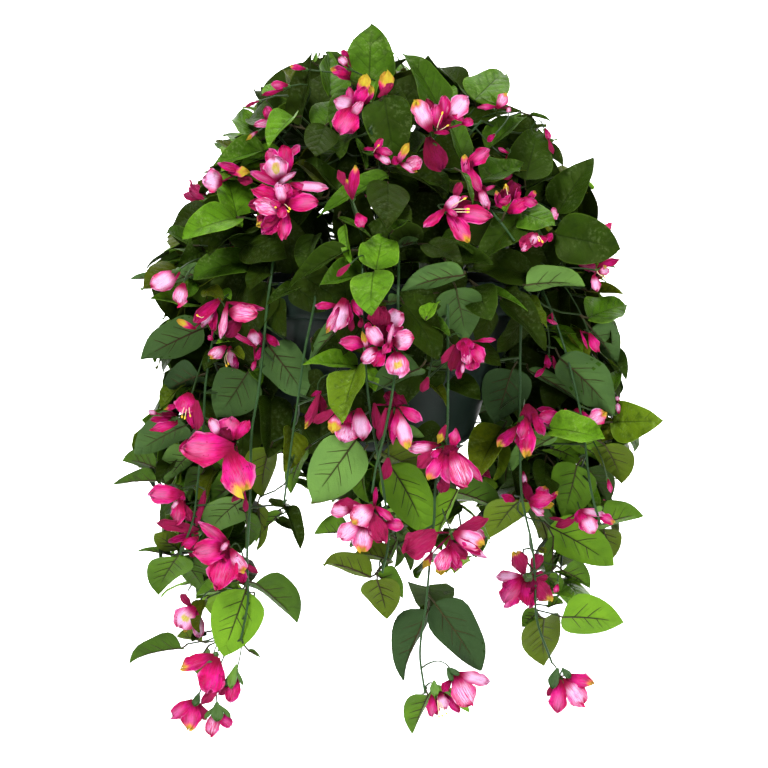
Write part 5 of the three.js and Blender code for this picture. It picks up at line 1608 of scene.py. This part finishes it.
# blossoms at the sides and the back
BLOSSOM_R = 30
spots = [(a, r, z, lift, "blossom_%02d" % (19 + i)) for i, (a, r, z, lift) in enumerate(SIDE)]
for k in range(26):
    a = 14 + (k * 137.5) % 152
    z = 160 - 340 * ((k * 0.618) % 1)
    spots.append((a, outline(z) * 0.76, z, 0.3 if z > 20 else -0.5, None))
for i, (a, r, z, lift, node) in enumerate(spots):
    ring = [polar(a, r, z) + RIGHT * BLOSSOM_R * math.cos(t) + UP * BLOSSOM_R * math.sin(t)
            for t in np.arange(0, 6.28, 0.5)]
    ci, cj, far = cells(A(ring))
    if node is None and not (grown[ci, cj] & (far > nearest_seen[ci, cj])).all():
        continue
    kind = ("double", "open", "bell", "open", "bell")[i % 5]
    if z < 0:
        kind = ("bell", "open", "bell")[i % 3]
    ob = blossom("flower_%03d" % (101 + i), polar(a, r, z), polar(a + rng.uniform(-25, 25), 1, lift),
                 rng.uniform(38, 58), kind, rng.uniform(0.05, 0.4), rng.choice([0, .4, .8]),
                 rng.uniform(0, 6.28))
    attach(ob, "root")
    if node:
        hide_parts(node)


# ---- pot, foam and trunk --------------------------------------------------------------------------
def lathe(name, profile, seg, material, wobble=None):
    """A piece turned round the pot's axis from a profile of radius and height."""
    soup = Soup()
    p = A(profile, float)
    n = len(p)
    ang = np.arange(seg) * 2 * math.pi / seg
    v = np.stack([p[:, 0][:, None] * np.cos(ang), p[:, 0][:, None] * np.sin(ang),
                  np.broadcast_to(p[:, 1][:, None], (n, seg))], -1).reshape(-1, 3)
    if wobble:
        v = wobble(v)
    f = [(k * seg + s, k * seg + (s + 1) % seg, (k + 1) * seg + (s + 1) % seg, (k + 1) * seg + s)
         for k in range(n - 1) for s in range(seg)]
    v = np.concatenate([v, [[0, 0, p[0, 1]], [0, 0, p[-1, 1]]]])
    for s in range(0, seg, 2):
        f.append((n * seg, (s + 2) % seg, s + 1, s))
        f.append((n * seg + 1, (n - 1) * seg + s, (n - 1) * seg + s + 1, (n - 1) * seg + (s + 2) % seg))
    soup.add(v, A(f), np.zeros((len(v), 2)), np.zeros((len(v), 4)), 0)
    ob = soup.build(name, [M[material]])
    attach(ob, "root")
    return ob


POT = [(40, -139.4), (66, -139.4), (68, -140), (70, -140), (73.6, -138.6), (76, -136.4), (78.2, -133),
       (79.6, -129.5), (84, -116), (88, -103), (96.5, -84), (104, -66), (110, -48), (114.4, -34.6),
       (116, -31.5), (118.6, -29), (120.4, -28.1), (123.2, -28), (123.9, -27.2), (123.9, -24), (123.8, -7),
       (124.3, -5.6), (125, -4.6), (125.3, -2.6), (125, -0.9), (124, -0.1), (122.6, 0), (120.9, -0.3),
       (119.9, -1.4), (119.4, -3), (117, -28), (111, -34), (101.4, -66), (85.4, -103), (76, -131),
       (69, -136.2), (40, -136.6)]
pot = lathe("pot_body", POT, 128, "pot")
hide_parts("pot_shell")


def rough_foam(v):
    """Uneven sides and a pressed top."""
    r = np.hypot(v[:, 0], v[:, 1])
    k = 1 + 0.006 * np.sin(v[:, 0] * 0.31 + v[:, 2] * 0.2) * np.cos(v[:, 1] * 0.27)
    v = v * np.stack([k, k, np.ones(len(v))], 1)
    top = v[:, 2] > -24
    v[top, 2] += 1.6 * np.sin(v[top, 0] * 0.23) * np.cos(v[top, 1] * 0.19) - 1.5 * (r[top] > 100)
    return v


FOAM = [(20, -135.8), (66, -135.8), (74, -129), (84, -102), (99, -66), (108, -40), (112, -28),
        (111, -22), (104, -20.3), (90, -20), (70, -20.2), (50, -19.8), (32, -20), (16, -20)]
foam = lathe("foam_block", FOAM, 96, "foam", rough_foam)
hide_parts("foam_fill")


def knobbly(v):
    """Shallow ridges, as of moulded bark."""
    a = np.arctan2(v[:, 1], v[:, 0])
    k = 1 + 0.08 * np.sin(a * 7 + v[:, 2] * 0.05) + 0.05 * np.sin(a * 3 + v[:, 2] * 0.21)
    return v * np.stack([k, k, np.ones(len(v))], 1)


TRUNK = [(4, -74.5), (9, -74), (11.5, -72)]
TRUNK += [(11.9 + 0.5 * math.sin(z * 0.4), z) for z in range(-68, 32, 5)]
TRUNK += [(12.0, 32), (10.8, 35.4), (7.5, 37.4), (3, 37.9)]
trunk = lathe("trunk_bark", TRUNK, 40, "trunk", knobbly)
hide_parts("bush_trunk")


# ---- stage, light and camera ------------------------------------------------------------------------
def stage_mesh(name, verts, faces, colour):
    """A mesh that is no part of the object."""
    me = bpy.data.meshes.new(name)
    me.from_pydata(verts, [], faces)
    me.polygons.foreach_set("use_smooth", [True] * len(me.polygons))
    ob = bpy.data.objects.new(name, me)
    bpy.context.scene.collection.objects.link(ob)
    k = Nodes(name + "_paint")
    k.set("Base Color", (*colour, 1))
    k.set("Roughness", 0.9)
    k.set("Emission Color", (1, 1, 1, 1))
    k.set("Emission Strength", 0.35)        # keeps the far end of the floor pale
    me.materials.append(k.m)


FLOOR_Z, WALL_Y, SPAN, BEND = -0.62, 3.6, 9.0, 1.0         # metres; BEND: radius between floor and wall
prof = [(-7.0, FLOOR_Z), (WALL_Y - BEND, FLOOR_Z)]
prof += [(WALL_Y - BEND + math.sin(t) * BEND, FLOOR_Z + BEND - math.cos(t) * BEND)
         for t in np.linspace(0.1, math.pi / 2, 12)]
prof += [(WALL_Y, 3.2)]
sv = [(x, y, z) for y, z in prof for x in (-SPAN, SPAN)]
sf = [(2 * i, 2 * i + 1, 2 * i + 3, 2 * i + 2) for i in range(len(prof) - 1)]
stage_mesh("backdrop", sv, sf, (0.93, 0.93, 0.93))


def hang(name, data, where, way):
    """Adds a light or camera at a place, looking along way."""
    ob = bpy.data.objects.new(name, data)
    ob.location = where
    ob.rotation_mode = "QUATERNION"
    ob.rotation_quaternion = Vector(way).to_track_quat("-Z", "Y")
    bpy.context.scene.collection.objects.link(ob)
    return ob


def area(name, where, aim, size, power):
    """Adds a round soft light that points at aim."""
    li = bpy.data.lights.new(name, "AREA")
    li.size, li.energy = size, power
    li.shape = "DISK"
    hang(name, li, where, A(aim, float) - A(where, float))


area("key_light", (-0.8, -1.7, 1.85), (0, 0, -0.08), 0.7, 88)
area("fill_light", (1.2, -2.1, 0.8), (0, 0, -0.08), 0.8, 34)
area("top_light", (0.2, 0.2, 2.1), (0, 0, 0), 1.2, 26)
area("wall_left", (-1.9, 2.1, 1.3), (-0.3, 3.6, -0.2), 1.2, 110)
area("wall_right", (1.9, 2.1, 1.3), (0.3, 3.6, -0.2), 1.2, 110)
area("floor_light", (0.0, 1.7, 2.6), (0.0, 1.7, -0.62), 1.6, 60)
world = bpy.data.worlds.new("studio")
world.use_nodes = True
wt = world.node_tree
sky = wt.nodes["Background"]
sky.inputs[0].default_value = (1, 1, 1, 1)
# a pale band round the horizon, dimmer above, so that every side view has a light background
height = wt.nodes.new("ShaderNodeSeparateXYZ")
wt.links.new(wt.nodes.new("ShaderNodeTexCoord").outputs["Generated"], height.inputs[0])
rise = wt.nodes.new("ShaderNodeMapRange")
rise.interpolation_type = "SMOOTHSTEP"
wt.links.new(height.outputs[2], rise.inputs[0])
for socket, value in zip(rise.inputs[1:5], (0.20, 0.34, 0.62, 0.08)):
    socket.default_value = value
wt.links.new(rise.outputs[0], sky.inputs[1])
bpy.context.scene.world = world
bpy.context.scene.view_settings.view_transform = "Standard"

cam_data = bpy.data.cameras.new("photo_camera")
cam_data.sensor_width = SENSOR
cam_data.lens = FOCAL * SENSOR / FRAME
bpy.context.scene.camera = hang("photo_camera", cam_data, EYE * MM, FWD)
